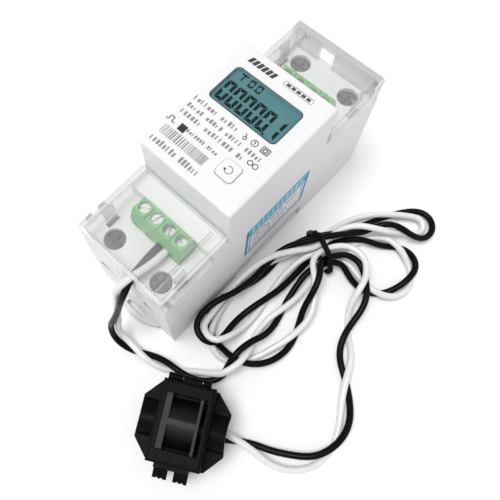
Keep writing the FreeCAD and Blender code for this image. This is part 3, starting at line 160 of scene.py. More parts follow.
ROUTE = [
    Vector((3.9, -36.25, 37.8)),
    Vector((3.9, -42.2, 37.8)),
    Vector((3.6, -53.6, 39.0)),
    Vector((1.4, -57.4, 17.6)),
    Vector((1.4, -64.2, CORD_LOW)),
    low(23.5, -58.6),
    Vector((38.2, -50.2, CORD_LOW + 1.2)),
    high(39.0, -42.6),
    high(38.9, -36.0),
    low(38.7, -25.5),
    low(38.4, -8.0),
    tie_pass(1, 0, -5.0),
    tie_pass(1, 0, 6.4),
    low(51.2, 10.8),
    low(57.8, 11.2),
    low(63.2, 15.2),
    low(65.4, 22.0),
    low(63.0, 29.2),
    low(57.0, 32.2),
    low(50.2, 30.6),
    low(43.8, 26.0),
    low(38.4, 18.6),
    tie_pass(0, 0, 3.5),
    tie_pass(0, 0, -3.5),
    low(31.9, -1.5),
    low(32.0, -12.0),
    low(31.6, -22.0),
    low(31.0, -29.5),
    high(30.9, -39.4),
    high(27.9, -42.2),
    high(23.9, -42.2),
    high(20.9, -39.4),
    high(20.7, -31.0),
    high(22.0, -22.6),
    high(22.7, -13.0),
    Vector((23.6, -4.0, CORD_HIGH + 0.4)),
    Vector((27.0, 3.2, CORD_HIGH + 1.1)),
    tie_pass(-0.5, 1, -3.5),
    tie_pass(-0.5, 1, 3.5),
    high(36.3, 21.6),
    high(42.2, 27.8),
    high(47.4, 33.8),
    low(57.4, 39.5),
    low(58.3, 44.2),
    low(55.3, 47.6),
    low(50.8, 47.2),
    low(42.8, 38.6),
    low(37.6, 30.4),
    low(33.6, 21.4),
    tie_pass(-1, 0, 3.5),
    tie_pass(-1, 0, -3.5),
    low(25.4, 0.8),
    low(23.9, -8.0),
    low(22.4, -17.0),
    low(21.0, -25.0),
    low(21.2, -33.0),
    low(25.4, -39.6),
    low(32.4, -42.4),
    low(39.6, -40.4),
    low(45.2, -34.0),
    low(48.0, -24.4),
    low(47.2, -16.0),
    Vector((44.9, -8.6, CORD_LOW + 3.2)),
    Vector((40.6, -0.2, CORD_HIGH + 2.2)),
    tie_pass(0.5, 1, -3.5),
    tie_pass(0.5, 1, 3.5),
    high(41.9, 16.2),
    high(47.6, 16.7),
    high(52.6, 12.6),
    high(55.6, 6.6),
    low(58.4, -2.4),
    low(62.2, -9.8),
    low(71.8, -21.2),
    low(80.6, -33.0),
    low(80.1, -46.3),
    low(70.7, -55.0),
    ct_point(GLAND_FACE + 10.0, 0, CORD_LOW + 7.0),
    ct_point(GLAND_FACE + 0.05, 0, CORD_LOW + 7.0),
]


def route_line(points):
    """Points of a smooth line that runs along a route, in metres."""
    curve = bpy.data.curves.new("route", "CURVE")
    curve.dimensions = "3D"
    curve.resolution_u = 24
    spline = curve.splines.new("NURBS")
    spline.points.add(len(points) - 1)
    for knot, point in zip(spline.points, points):
        knot.co = (point.x * MM, point.y * MM, point.z * MM, 1)
    spline.order_u = 3
    spline.use_endpoint_u = True
    carrier = bpy.data.objects.new("route", curve)
    bpy.context.scene.collection.objects.link(carrier)
    bpy.context.view_layer.update()
    mesh = bpy.data.meshes.new_from_object(carrier)
    line = [v.co.copy() for v in mesh.vertices]
    bpy.data.objects.remove(carrier)
    bpy.data.curves.remove(curve)
    bpy.data.meshes.remove(mesh)
    return line


def respaced(line, step):
    """The same line with evenly spaced points."""
    lengths = [0.0]
    for a, b in zip(line, line[1:]):
        lengths.append(lengths[-1] + (b - a).length)
    count = max(2, round(lengths[-1] / step))
    result = []
    index = 0
    for i in range(count + 1):
        goal = lengths[-1] * i / count
        while index < len(line) - 2 and lengths[index + 1] < goal:
            index += 1
        span = lengths[index + 1] - lengths[index]
        share = (goal - lengths[index]) / span if span else 0
        result.append(line[index].lerp(line[index + 1], share))
    return result, lengths[-1]


def frames(line):
    """Direction and two cross directions at every point, turned as little as possible."""
    result = []
    side = None
    for i, point in enumerate(line):
        ahead = (line[min(i + 1, len(line) - 1)] - line[max(i - 1, 0)]).normalized()
        if side is None:
            side = ahead.cross(Vector((0, 0, 1)))
            if side.length < 0.1:
                side = ahead.cross(Vector((1, 0, 0)))
        side = (side - ahead * side.dot(ahead)).normalized()
        result.append((ahead, side, side.cross(ahead)))
    return result


def add_tube(vertices, faces, marks, line, radius, sides, mark):
    """Adds a capped tube along a line to the lists of a mesh."""
    start = len(vertices)
    for point, (ahead, side, over) in zip(line, frames(line)):
        for k in range(sides):
            turn = 2 * math.pi * k / sides
            vertices.append(point + side * (radius * math.cos(turn)) + over * (radius * math.sin(turn)))
    for i in range(len(line) - 1):
        for k in range(sides):
            n = (k + 1) % sides
            a = start + i * sides
            faces.append((a + k, a + n, a + sides + n, a + sides + k))
            marks.append(mark)
    last = start + (len(line) - 1) * sides
    faces.append(tuple(range(start + sides - 1, start - 1, -1)))
    faces.append(tuple(range(last, last + sides)))
    marks += [mark, mark]


def mesh_piece(name, vertices, faces, materials, marks=None, smooth=True):
    mesh = bpy.data.meshes.new(name)
    mesh.from_pydata([tuple(v) for v in vertices], [], faces)
    for material in materials:
        mesh.materials.append(material)
    for index, polygon in enumerate(mesh.polygons):
        polygon.use_smooth = smooth
        if marks:
            polygon.material_index = marks[index]
    mesh.update()
    piece = bpy.data.objects.new(name, mesh)
    bpy.context.scene.collection.objects.link(piece)
    return piece


# Materials
def new_material(name):
    material = bpy.data.materials.new(name)
    material.use_nodes = True
    tree = material.node_tree
    return material, tree, tree.nodes["Principled BSDF"]


def uneven(tree, size, low_value, high_value, detail=3, stretch=None):
    """A noise between two values, in object space, its grains of about the given size in millimetres."""
    nodes, links = tree.nodes, tree.links
    where = nodes.new("ShaderNodeTexCoord")
    noise = nodes.new("ShaderNodeTexNoise")
    noise.inputs["Scale"].default_value = 1 / (size * MM)
    noise.inputs["Detail"].default_value = detail
    source = where.outputs["Object"]
    if stretch:
        mapping = nodes.new("ShaderNodeMapping")
        mapping.inputs["Scale"].default_value = stretch
        links.new(source, mapping.inputs["Vector"])
        source = mapping.outputs["Vector"]
    links.new(source, noise.inputs["Vector"])
    spread = nodes.new("ShaderNodeMapRange")
    spread.inputs["From Min"].default_value = 0.3
    spread.inputs["From Max"].default_value = 0.7
    spread.inputs["To Min"].default_value = low_value
    spread.inputs["To Max"].default_value = high_value
    links.new(noise.outputs["Fac"], spread.inputs["Value"])
    return spread.outputs["Result"]


def number(tree, operation, first, second=0.0):
    """Result of one step of arithmetic on sockets or values, kept between 0 and 1."""
    node = tree.nodes.new("ShaderNodeMath")
    node.operation = operation
    node.use_clamp = True
    for socket, value in zip(node.inputs, (first, second)):
        if isinstance(value, (int, float)):
            socket.default_value = value
        else:
            tree.links.new(value, socket)
    return node.outputs["Value"]


def ramp(tree, value, start, end, low_value, high_value):
    """A smooth change from one value to another, between start and end."""
    node = tree.nodes.new("ShaderNodeMapRange")
    node.interpolation_type = "SMOOTHSTEP"
    for key, amount in (("From Min", start), ("From Max", end),
                        ("To Min", low_value), ("To Max", high_value)):
        node.inputs[key].default_value = amount
    tree.links.new(value, node.inputs["Value"])
    return node.outputs["Result"]


def soft_edges(tree, radius):
    """Normals that round the edges, with a radius in millimetres."""
    bevel = tree.nodes.new("ShaderNodeBevel")
    bevel.samples = 4
    bevel.inputs["Radius"].default_value = radius * MM
    return bevel.outputs["Normal"]


def surface(name, colour, rough, edge=0.0, grain=0.0, grain_size=0.3, metal=0.0, coat=0.0, spread=0.12,
            stain=0.0, stretch=None, shine=0.5, soak=0.0):
    """General finish: uneven gloss, a little shade in the colour, fine grain and soft edges."""
    material, tree, shader = new_material(name)
    nodes, links = tree.nodes, tree.links
    shader.inputs["Metallic"].default_value = metal
    shader.inputs["Coat Weight"].default_value = coat
    shader.inputs["Specular IOR Level"].default_value = shine
    if soak:
        shader.inputs["Subsurface Weight"].default_value = soak
        shader.inputs["Subsurface Radius"].default_value = (1, 1, 1)
        shader.inputs["Subsurface Scale"].default_value = 0.8 * MM
    gloss = uneven(tree, 2.5, rough * (1 - spread), min(1, rough * (1 + spread)))
    links.new(gloss, shader.inputs["Roughness"])
    if stain:
        mix = nodes.new("ShaderNodeMix")
        mix.data_type = "RGBA"
        mix.inputs["A"].default_value = (*colour, 1)
        mix.inputs["B"].default_value = (*[c * (1 - stain) for c in colour], 1)
        links.new(uneven(tree, 4.0, 0, 1), mix.inputs["Factor"])
        links.new(mix.outputs["Result"], shader.inputs["Base Color"])
    else:
        shader.inputs["Base Color"].default_value = (*colour, 1)
    normal = soft_edges(tree, edge) if edge else None
    if grain:
        bump = nodes.new("ShaderNodeBump")
        bump.inputs["Strength"].default_value = grain
        bump.inputs["Distance"].default_value = 0.05 * MM
        links.new(uneven(tree, grain_size, 0, 1, 2, stretch), bump.inputs["Height"])
        if normal:
            links.new(normal, bump.inputs["Normal"])
        normal = bump.outputs["Normal"]
    if normal:
        links.new(normal, shader.inputs["Normal"])
    return material


COVER_SHADE_HEIGHTS = (36, 45)      # painted shade: the walls turn from pale to darker between these heights
COVER_REAR_SHADE = (46, 48)       # and the rear one carries more painted shade still, behind this distance


def cover_film_and_painted_light(tree, film, painted_wall_shade, painted_rim_highlight):
    """Diffuse layers of a clear moulding, each with its amount: a thin film, painted shade on the walls and
    a painted highlight on the rounded rims.
    """
    where = tree.nodes.new("ShaderNodeTexCoord")
    facing = tree.nodes.new("ShaderNodeSeparateXYZ")
    tree.links.new(where.outputs["Normal"], facing.inputs["Vector"])
    place = tree.nodes.new("ShaderNodeSeparateXYZ")
    tree.links.new(where.outputs["Object"], place.inputs["Vector"])
    level = number(tree, "ABSOLUTE", facing.outputs["Z"])
    # painted shade on the upright walls, darker towards their tops and darker still at the rear
    upright = ramp(tree, level, 0.05, 0.5, 1, 0)
    height = ramp(tree, place.outputs["Z"], COVER_SHADE_HEIGHTS[0] * MM, COVER_SHADE_HEIGHTS[1] * MM, 0.25, 1)
    rear_painted_shade = ramp(tree, place.outputs["Y"], COVER_REAR_SHADE[0] * MM, COVER_REAR_SHADE[1] * MM, 0, painted_wall_shade * 0.8)
    painted_shade = number(tree, "ADD", number(tree, "MULTIPLY", height, painted_wall_shade), rear_painted_shade)
    # painted highlight: white on the rounded rims, where the surface is neither level nor upright
    painted_highlight_mask = number(tree, "MULTIPLY", ramp(tree, level, 0.02, 0.2, 0, 1),
                        ramp(tree, level, 0.9, 0.99, 1, 0))
    return [(0.97, number(tree, "MULTIPLY", uneven(tree, 6.0, 0.8, 1.2), film)),
            (0.50, number(tree, "MULTIPLY", upright, painted_shade)),
            (1.0, number(tree, "MULTIPLY", painted_highlight_mask, painted_rim_highlight))]


def clear(name, tint, film, painted_wall_shade, painted_rim_highlight, rough, bend=1.5):
    """Clear moulding that lets light pass straight through, under its film, its painted shade on the walls,
    its painted highlight on the rounded rims and its gloss.
    """
    material, tree, shader = new_material(name)
    nodes, links = tree.nodes, tree.links
    nodes.remove(shader)
    normal = soft_edges(tree, 0.2)
    through = nodes.new("ShaderNodeBsdfTransparent")
    through.inputs["Color"].default_value = (*tint, 1)
    body = through.outputs["BSDF"]
    # each layer is a lit diffuse: the frosted film, then the painted shade, then the painted highlight
    for shade, amount in cover_film_and_painted_light(tree, film, painted_wall_shade, painted_rim_highlight):
        haze_and_painted_light = nodes.new("ShaderNodeBsdfDiffuse")
        haze_and_painted_light.inputs["Color"].default_value = (shade, shade, shade, 1)
        links.new(normal, haze_and_painted_light.inputs["Normal"])
        mix = nodes.new("ShaderNodeMixShader")
        links.new(amount, mix.inputs["Fac"])
        links.new(body, mix.inputs[1])
        links.new(haze_and_painted_light.outputs["BSDF"], mix.inputs[2])
        body = mix.outputs["Shader"]
    shine = nodes.new("ShaderNodeBsdfGlossy")
    shine.inputs["Roughness"].default_value = rough
    links.new(normal, shine.inputs["Normal"])
    fresnel = nodes.new("ShaderNodeFresnel")
    fresnel.inputs["IOR"].default_value = bend
    links.new(normal, fresnel.inputs["Normal"])
    side = nodes.new("ShaderNodeNewGeometry")
    front = number(tree, "SUBTRACT", 1.0, side.outputs["Backfacing"])
    final = nodes.new("ShaderNodeMixShader")
    links.new(number(tree, "MULTIPLY", fresnel.outputs["Fac"], front), final.inputs["Fac"])
    links.new(body, final.inputs[1])
    links.new(shine.outputs["BSDF"], final.inputs[2])
    links.new(final.outputs["Shader"], nodes["Material Output"].inputs["Surface"])
    return material


FINISH = {
    "white_housing": surface("white_housing", (0.88, 0.88, 0.88), 0.42, edge=0.35, grain=0.10, soak=0.3),
    # the clear cover carries painted shade on its walls (0.36) and a painted highlight on its rounded rims
    # (0.45)
    "clear_cover": clear("clear_cover", (0.995, 0.995, 0.995), 0.10, 0.36, 0.45, 0.06),
    "clear_lens": clear("clear_lens", (0.97, 0.985, 0.985), 0.0, 0.0, 0.0, 0.05, 1.2),
    # the clip's own pale colour, darkened a little as painted shade for its place under the front cover's
    # overhang
    "light_grey_clip": surface("light_grey_clip", (0.64, 0.64, 0.64), 0.4, edge=0.3, grain=0.1),
    "spring_steel": surface("spring_steel", (0.5, 0.51, 0.53), 0.3, metal=1.0),
    # painted shade: the screw metal is darkened to stand for the shade deep in the terminal wells
    "zinc_steel": surface("zinc_steel", (0.20, 0.20, 0.20), 0.85, edge=0.3, grain=0.15, metal=1.0,
                          stain=0.15),
    "brass_bar": surface("brass_bar", (0.72, 0.46, 0.16), 0.28, edge=0.1, grain=0.1, metal=1.0, stain=0.1),
    "shunt_alloy": surface("shunt_alloy", (0.42, 0.33, 0.27), 0.45, metal=1.0, grain=0.2, stain=0.2),
    "carrier": surface("carrier", (0.52, 0.52, 0.50), 0.5, edge=0.2, grain=0.1),
    "green_block": surface("green_block", (0.15, 0.48, 0.16), 0.36, edge=0.25, grain=0.12, stain=0.06),
    "nickel_screw": surface("nickel_screw", (0.58, 0.58, 0.57), 0.4, edge=0.08, metal=1.0, stain=0.1),
    "board": surface("board", (0.012, 0.075, 0.03), 0.3, edge=0.05, coat=0.4, stain=0.2),
    "header": surface("header", (0.02, 0.02, 0.022), 0.45, grain=0.1),
    "component": surface("component", (0.03, 0.03, 0.035), 0.4, edge=0.15, stain=0.3),
    "lcd": surface("lcd", (0.12, 0.31, 0.33), 0.25, stain=0.08),
    "backlight": surface("backlight", (0.66, 0.7, 0.7), 0.5, grain=0.1),
    "switch": surface("switch", (0.02, 0.02, 0.02), 0.5, edge=0.1, grain=0.1),
    "white_button": surface("white_button", (0.88, 0.88, 0.88), 0.38, edge=0.2, grain=0.06, soak=0.3),
    "red_light": surface("red_light", (0.022, 0.008, 0.008), 0.2, coat=0.2, stain=0.4),
    "label": surface("label", (0.86, 0.87, 0.88), 0.3, stain=0.03),
    "black_case": surface("black_case", (0.0035, 0.0035, 0.004), 0.36, edge=0.28, grain=0.3,
                          grain_size=0.25, shine=0.04),
    "ferrite": surface("ferrite", (0.004, 0.004, 0.0045), 0.40, edge=0.1, grain=0.25, grain_size=0.5,
                       stain=0.3, shine=0.12),
    "winding": surface("winding", (0.40, 0.14, 0.05), 0.25, coat=0.5, grain=0.8, grain_size=0.4,
                       stretch=(8, 1, 1)),
    "grey_retainer": surface("grey_retainer", (0.036, 0.036, 0.037), 0.42, edge=0.2, grain=0.15, shine=0.1),
    "pin_steel": surface("pin_steel", (0.45, 0.45, 0.47), 0.25, metal=1.0),
    "tie_wire": surface("tie_wire", (0.003, 0.003, 0.0035), 0.3, grain=0.1, shine=0.06),
}


def finish_nodes():
    """Gives each CAD node the finish of its slot."""
    for part in frame["record"]["subparts"]:
        node = frame["nodes"][part["node"]]
        if part["material_slot"] in FINISH:
            node.data.materials.clear()
            node.data.materials.append(FINISH[part["material_slot"]])


finish_nodes()

BLACK_CORE = surface("cord_black", (0.003, 0.003, 0.003), 0.22, grain=0.12, grain_size=1.5, shine=0.08)
WHITE_CORE = surface("cord_white", (0.84, 0.84, 0.84), 0.26, grain=0.12, grain_size=1.5, coat=0.2,
                     stain=0.05)
PRINT_GREY = surface("print_grey", (0.06, 0.06, 0.065), 0.6, stain=0.1)
PRINT_PALE = surface("print_pale", (0.26, 0.26, 0.265), 0.6, stain=0.1)
PRINT_DARK = surface("print_dark", (0.035, 0.035, 0.038), 0.6, stain=0.1)
LCD_INK = surface("lcd_ink", (0.002, 0.012, 0.016), 0.5, stain=0.2, shine=0.1)
OUTLINE = surface("lens_outline", (0.003, 0.010, 0.012), 0.5, stain=0.2, shine=0.1)
SCREEN = surface("screen", (0.085, 0.235, 0.26), 0.35, stain=0.10)
BLUE = surface("label_blue", (0.010, 0.20, 0.42), 0.4, stain=0.1, shine=0.2)
PALE_BLUE = surface("label_pale_blue", (0.03, 0.44, 0.72), 0.4, stain=0.1, shine=0.2)

# Twisted pair
line, cord_length = respaced(route_line(ROUTE), STRAND_STEP * MM)
# each crossing of the two cores, in millimetres along the route, and how far they part after it
CROSSINGS = [
    (-38, 0.1), (-10, 0.1), (14, 0.1), (45, 0.1), (66, 0.2), (81, 0.2), (98, 0.2), (113, 0.4),
    (130, 0.3), (154, 0.2), (176, 0.2), (193, 0.1), (206, 0.3), (218, 0.2), (237, 0.2), (262, 0.5),
    (287, 0.2), (308, 0.3), (332, 0.2), (355, 0.1), (370, 0.2), (382, 0.5), (414, 0.6), (441, 0.2),
    (460, 0.2), (480, 0.3), (498, 0.3), (512, 0.6), (537, 0.3), (553, 0.5), (588, 0.9), (608, 0.9),
    (625, 0.4), (648, 1.2), (683, 0.1), (700, 0.1),
]


def twist(along):
    """Angle of the white core round the route, and half the distance between the cores."""
    index = 0
    while index < len(CROSSINGS) - 2 and CROSSINGS[index + 1][0] < along:
        index += 1
    (start, wide), (end, _) = CROSSINGS[index], CROSSINGS[index + 1]
    share = (along - start) / (end - start)
    eased = share + TWIST_EASE * math.sin(2 * math.pi * share) / (2 * math.pi)
    angle = math.pi / 2 - math.pi * (index + eased)
    return angle, CORE_OFFSET + wide * math.sin(math.pi * share) ** 2


def strand(sign):
    """One core of the pair, wound loosely round the route."""
    points = []
    total = len(line) - 1
    length = cord_length / MM
    for i, point in enumerate(line):
        ahead = (line[min(i + 1, total)] - line[max(i - 1, 0)]).normalized()
        side = ahead.cross(Vector((0, 0, 1))).normalized()
        over = side.cross(ahead)
        along = length * i / total
        looks = [twist(min(max(along + step, 0), length)) for step in TWIST_SMOOTH]
        turn = sum(angle for angle, apart in looks) / len(looks)
        apart = sum(apart for angle, apart in looks) / len(looks) * MM
        place = point + (side * math.cos(turn) + over * math.sin(turn)) * (apart * sign)
        place.z = max(place.z, FLOOR_Z + STRAND_D / 2 * MM)
        points.append(place)
    return points


def twisted_pair():
    vertices, faces, marks = [], [], []
    add_tube(vertices, faces, marks, strand(1), STRAND_D / 2 * MM, STRAND_SIDES, 0)
    add_tube(vertices, faces, marks, strand(-1), STRAND_D / 2 * MM, STRAND_SIDES, 1)
    pair = mesh_piece("twisted_pair", vertices, faces, [WHITE_CORE, BLACK_CORE], marks)
    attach(pair, "meter")
    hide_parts("cord_lead", "cord_hank", "cord_tail")


twisted_pair()


# Binding wire, two turns and a knot
def tie_line():
    """The wire's line, twice round the bundle."""
    reach = CORD_D / 2 + TIE_GAP + TIE_WIRE_R
    bends = [(TIE_STEP, 0), (TIE_STEP / 2, TIE_RISE), (-TIE_STEP / 2, TIE_RISE), (-TIE_STEP, 0)]
    loop = []
    for (x, z), (start, end) in zip(bends, TIE_ARCS):
        for k in range(TIE_ARC_STEPS + 1):
            turn = math.radians(start + (end - start) * k / TIE_ARC_STEPS)
            loop.append((x + reach * math.cos(turn), z + reach * math.sin(turn)))
    loop = loop[TIE_FIRST:] + loop[:TIE_FIRST]
    points = []
    count = len(loop)
    for k in range(2 * count + 1):
        across, height = loop[k % count]
        points.append(tie_point(across, height, TIE_SPREAD * (k / (2 * count) - 0.5)) * MM)
    return points


def knot_line(middle):
    """A figure of eight that lies on the wire's first point."""
    points = []
    for k in range(KNOT_STEPS + 1):
        turn = 2 * math.pi * k / KNOT_STEPS
        points.append(middle + Vector((KNOT_WIDE * math.cos(turn), KNOT_LONG * math.sin(2 * turn),
                                       KNOT_LIFT + KNOT_SWAY * math.sin(turn))) * MM)
    return points


def binding_wire():
    vertices, faces, marks = [], [], []
    turns = tie_line()
    add_tube(vertices, faces, marks, respaced(turns, TIE_WIRE_STEP * MM)[0], TIE_WIRE_R * MM, TIE_SIDES, 0)
    add_tube(vertices, faces, marks, knot_line(turns[0]), TIE_WIRE_R * 0.95 * MM, TIE_SIDES, 0)
    tie = mesh_piece("binding_wire", vertices, faces, [FINISH["tie_wire"]])
    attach(tie, "meter")
    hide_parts("cord_tie")


binding_wire()


# Clip spring, a folded strip
SPRING_FOLDS = 6
SPRING_STRIP = 0.35


def clip_spring():
    near, far = corners("din_clip_spring")
    length = far.y - near.y
    step = length / SPRING_FOLDS
    wide = SPRING_STRIP * math.hypot(far.x - near.x, step) / step
    swing = (far.x - near.x - wide) / 2
    vertices, faces = [], [(0, 1, 2, 3)]
    for fold in range(SPRING_FOLDS + 1):
        middle = swing if fold % 2 else -swing
        for side, height in ((-1, near.z), (1, near.z), (1, far.z), (-1, far.z)):
            vertices.append(Vector((middle + side * wide / 2, far.y - fold * step, height)) * MM)
    for start in range(0, 4 * SPRING_FOLDS, 4):
        for k in range(4):
            n = (k + 1) % 4
            faces.append((start + k, start + n, start + 4 + n, start + 4 + k))
    last = 4 * SPRING_FOLDS
    faces.append((last + 3, last + 2, last + 1, last))
    spring = mesh_piece("clip_spring", vertices, faces, [FINISH["spring_steel"]], smooth=False)
    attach(spring, "meter")
    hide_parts("din_clip_spring")
    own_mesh(spring)


clip_spring()


# Print
class Print:
    """Flat marks on one plane: x and y in millimetres along the two directions of the plane."""

    def __init__(self, origin, across, upward):
        self.origin, self.across, self.upward = origin, across, upward
        self.vertices, self.faces, self.marks = [], [], []

    def shape(self, points, mark=0):
        start = len(self.vertices)
        for x, y in points:
            self.vertices.append((self.origin + self.across * x + self.upward * y) * MM)
        self.faces.append(tuple(range(start, start + len(points))))
        self.marks.append(mark)

    def bar(self, x0, y0, x1, y1, mark=0):
        self.shape([(x0, y0), (x1, y0), (x1, y1), (x0, y1)], mark)

    def leaning(self, x, foot, wide, head, lean, mark=0):
        self.shape([(x, foot), (x + wide, foot), (x + wide + lean, head), (x + lean, head)], mark)

    def stroke(self, x0, y0, x1, y1, width, mark=0):
        length = math.hypot(x1 - x0, y1 - y0)
        nx, ny = -(y1 - y0) / length * width / 2, (x1 - x0) / length * width / 2
        self.shape([(x0 - nx, y0 - ny), (x1 - nx, y1 - ny), (x1 + nx, y1 + ny), (x0 + nx, y0 + ny)], mark)

    def chain(self, points, width, mark=0):
        for (x0, y0), (x1, y1) in zip(points, points[1:]):
            self.stroke(x0, y0, x1, y1, width, mark)

    def ring(self, x, y, radius, width, start=0, end=360, mark=0, steps=32):
        turns = [math.radians(start + (end - start) * k / steps) for k in range(steps + 1)]
        for a, b in zip(turns, turns[1:]):
            self.shape([(x + r * math.cos(t), y + r * math.sin(t))
                        for r, t in ((radius - width / 2, a), (radius + width / 2, a),
                                     (radius + width / 2, b), (radius - width / 2, b))], mark)

    def blocks(self, x0, x1, y, tall, count, rng, mark=0):
        """A row of plain blocks, in groups of about seven."""
        pitch = (x1 - x0) / count
        gap_after = rng.randint(5, 8)
        for k in range(count):
            if k == gap_after:
                gap_after += rng.randint(5, 9)
                continue
            x = x0 + pitch * k
            wide = pitch * rng.choice((0.3, 0.55, 0.65))
            self.bar(x, y, x + wide, y + tall * rng.choice((0.75, 1, 1)), mark)

    def piece(self, name, body, materials, slot_name):
        made = mesh_piece(name, self.vertices, self.faces, materials, self.marks, smooth=False)
        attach(made, body)
        return made


LIFT = 0.02                 # print stands this far off its ground
FACE_TOP = corners("top_housing")[1].z


def flat_sheet(height, x=0.0, y=0.0):
    """A level plane to print on."""
    return Print(Vector((x, y, height)), X_AXIS, Y_AXIS)


# Face
# rows of plain blocks: left end, right end, foot, height and number of places
FACE_ROWS = [(-15.2, 1.6, -2.5, 1.6, 13), (-15.1, 12.6, -5.3, 1.4, 23), (-15.1, 8.6, -8.2, 1.5, 18),
             (-9.2, 2.3, -11.7, 1.15, 12), (-15.5, 2.8, -20.0, 2.0, 15)]
SIGN_LINE = 0.28


def signs(sheet):
    """Plain marks: a key, a ringed digit, two nested frames and two rings."""
    sheet.ring(4.1, -2.2, 0.5, SIGN_LINE)
    sheet.stroke(4.1, -1.7, 3.6, -0.7, SIGN_LINE)
    sheet.ring(7.25, -1.6, 1.0, 0.26)
    sheet.chain([(6.95, -1.35), (7.3, -1.05), (7.3, -2.15)], SIGN_LINE)
    x, y = 11.0, -1.5
    for half in (1.2, 0.6):
        low_y, high_y = y - half * 0.8, y + half * 0.8
        sheet.chain([(x - half, low_y), (x + half, low_y), (x + half, high_y), (x - half, high_y),
                     (x - half, low_y)], 0.32)
    sheet.ring(10.3, -6.9, 0.75, SIGN_LINE)
    sheet.ring(12.1, -6.9, 0.75, SIGN_LINE)


def pulse_sign(sheet):
    sheet.chain([(-16.8, -11.9), (-15.9, -11.9), (-15.9, -10.4), (-14.6, -10.4), (-14.6, -11.9),
                 (-13.6, -11.9)], 0.3)


def row_of_bars(sheet, x, end, foot, head):
    while x < end:
        width = rng.choice((0.16, 0.16, 0.3))
        sheet.bar(x, foot, x + width, head)
        x += width + rng.choice((0.3, 0.4, 0.55))


def face_print():
    sheet = flat_sheet(FACE_TOP + LIFT)
    for x0, x1, foot, tall, count in FACE_ROWS:
        sheet.blocks(x0, x1, foot, tall, count, rng, 1)
    signs(sheet)
    pulse_sign(sheet)
    row_of_bars(sheet, -15.0, 1.7, -16.6, -13.4)
    sheet.piece("face_print", "meter", [PRINT_GREY, PRINT_PALE], "white_housing")


def face_blocks():
    """Six leaning blocks above the display."""
    sheet = flat_sheet(FACE_TOP + LIFT)
    for k in range(6):
        sheet.leaning(-12.6 + 1.65 * k, 17.5, 1.25, 19.6, 0.7)
    sheet.piece("face_blocks", "meter", [PRINT_DARK], "white_housing")


def face_plate_mark():
    """A plain frame with five blocks."""
    sheet = flat_sheet(FACE_TOP + LIFT)
    sheet.chain([(0.7, 18.1), (10.3, 18.1), (10.7, 18.5), (10.7, 19.4), (10.3, 19.8), (0.7, 19.8),
                 (0.3, 19.4), (0.3, 18.5), (0.7, 18.1)], 0.13)
    for k in range(5):
        sheet.bar(1.25 + 1.8 * k, 18.45, 2.55 + 1.8 * k, 19.45)
    sheet.piece("face_plate_mark", "meter", [PRINT_GREY], "white_housing")


rng = random.Random(7)
face_print()
face_blocks()
face_plate_mark()

# Display
SEGMENTS = {"0": "abcdef", "1": "bc"}
window_low, window_high = corners("display_lens")
SCREEN_TOP = window_low.z - 1.5 * LIFT


def rounded(low_corner, high_corner, grow, radius, steps=8):
    """Outline of a box seen from above, grown on all sides and with round corners."""
    x0, y0 = low_corner.x - grow, low_corner.y - grow
    x1, y1 = high_corner.x + grow, high_corner.y + grow
    points = []
    for cx, cy, start in ((x1 - radius, y0 + radius, -90), (x1 - radius, y1 - radius, 0),
                          (x0 + radius, y1 - radius, 90), (x0 + radius, y0 + radius, 180)):
        for k in range(steps + 1):
            turn = math.radians(start + 90 * k / steps)
            points.append((cx + radius * math.cos(turn), cy + radius * math.sin(turn)))
    return points


def display_screen(outer):
    """Coloured ground, just under the window."""
    sheet = flat_sheet(SCREEN_TOP)
    sheet.shape(outer, 0)
    sheet.piece("display_screen", "meter", [SCREEN], "lcd")


def display_outline(outer, inner):
    """Dark line round the window."""
    sheet = flat_sheet(FACE_TOP + LIFT / 2)
    for k in range(len(outer)):
        n = (k + 1) % len(outer)
        sheet.shape([outer[k], outer[n], inner[n], inner[k]], 0)
    sheet.piece("display_outline", "meter", [OUTLINE], "lcd")


def digit(sheet, x, y, wide, tall, thick, text):
    """A seven-segment digit with mitred strokes; x and y are the lower left end of its centre lines."""
    half, t, gap = tall / 2, thick / 2, thick * 0.09
    flat = [(gap - t, t), (wide + t - gap, t), (wide - t - gap, -t), (t + gap, -t)]
    upright = [(-t, half + t * 0.2 + gap), (-t, tall + t - gap), (t, tall - t - gap), (t, half + t + gap)]
    strokes = {
        "a": [(u, tall + v) for u, v in flat], "d": [(u, -v) for u, v in flat],
        "f": upright, "b": [(wide - u, v) for u, v in upright],
        "e": [(u, tall - v) for u, v in upright], "c": [(wide - u, tall - v) for u, v in upright],
    }
    for key in SEGMENTS[text]:
        sheet.shape([(x + u, y + v) for u, v in strokes[key]])


def digit_row(sheet, text, x, y, pitch, wide, tall, thick):
    for k, figure in enumerate(text):
        digit(sheet, x + pitch * k, y, wide, tall, thick, figure)


def display_digits():
    """Six large digits with a point, and a small row over them."""
    sheet = flat_sheet(SCREEN_TOP + LIFT)
    digit_row(sheet, "000001", x=-11.65, y=3.05, pitch=3.78, wide=2.15, tall=6.3, thick=1.05)
    sheet.bar(6.15, 2.1, 6.85, 2.8)
    sheet.bar(-10.9, 13.5, -8.6, 13.95)
    sheet.bar(-9.98, 11.5, -9.52, 13.95)
    digit_row(sheet, "00", x=-7.1, y=11.6, pitch=2.75, wide=1.35, tall=2.2, thick=0.55)
    sheet.piece("display_digits", "meter", [LCD_INK], "lcd")


outer = rounded(window_low, window_high, 0.05, 1.6)
inner = rounded(window_low, window_high, -0.2, 1.35)
display_screen(outer)
display_outline(outer, inner)
display_digits()


# Button mark, an open ring with a small arrow
def button_mark():
    near, far = corners("push_button")
    sheet = flat_sheet(far.z + LIFT, (near.x + far.x) / 2, (near.y + far.y) / 2)
    sheet.ring(0, 0, 1.15, 0.2, 200, 500)
    sheet.shape([(-1.65, -0.1), (-0.55, -0.1), (-1.1, -0.85)])
    sheet.piece("button_mark", "button", [PRINT_GREY], "white_button")


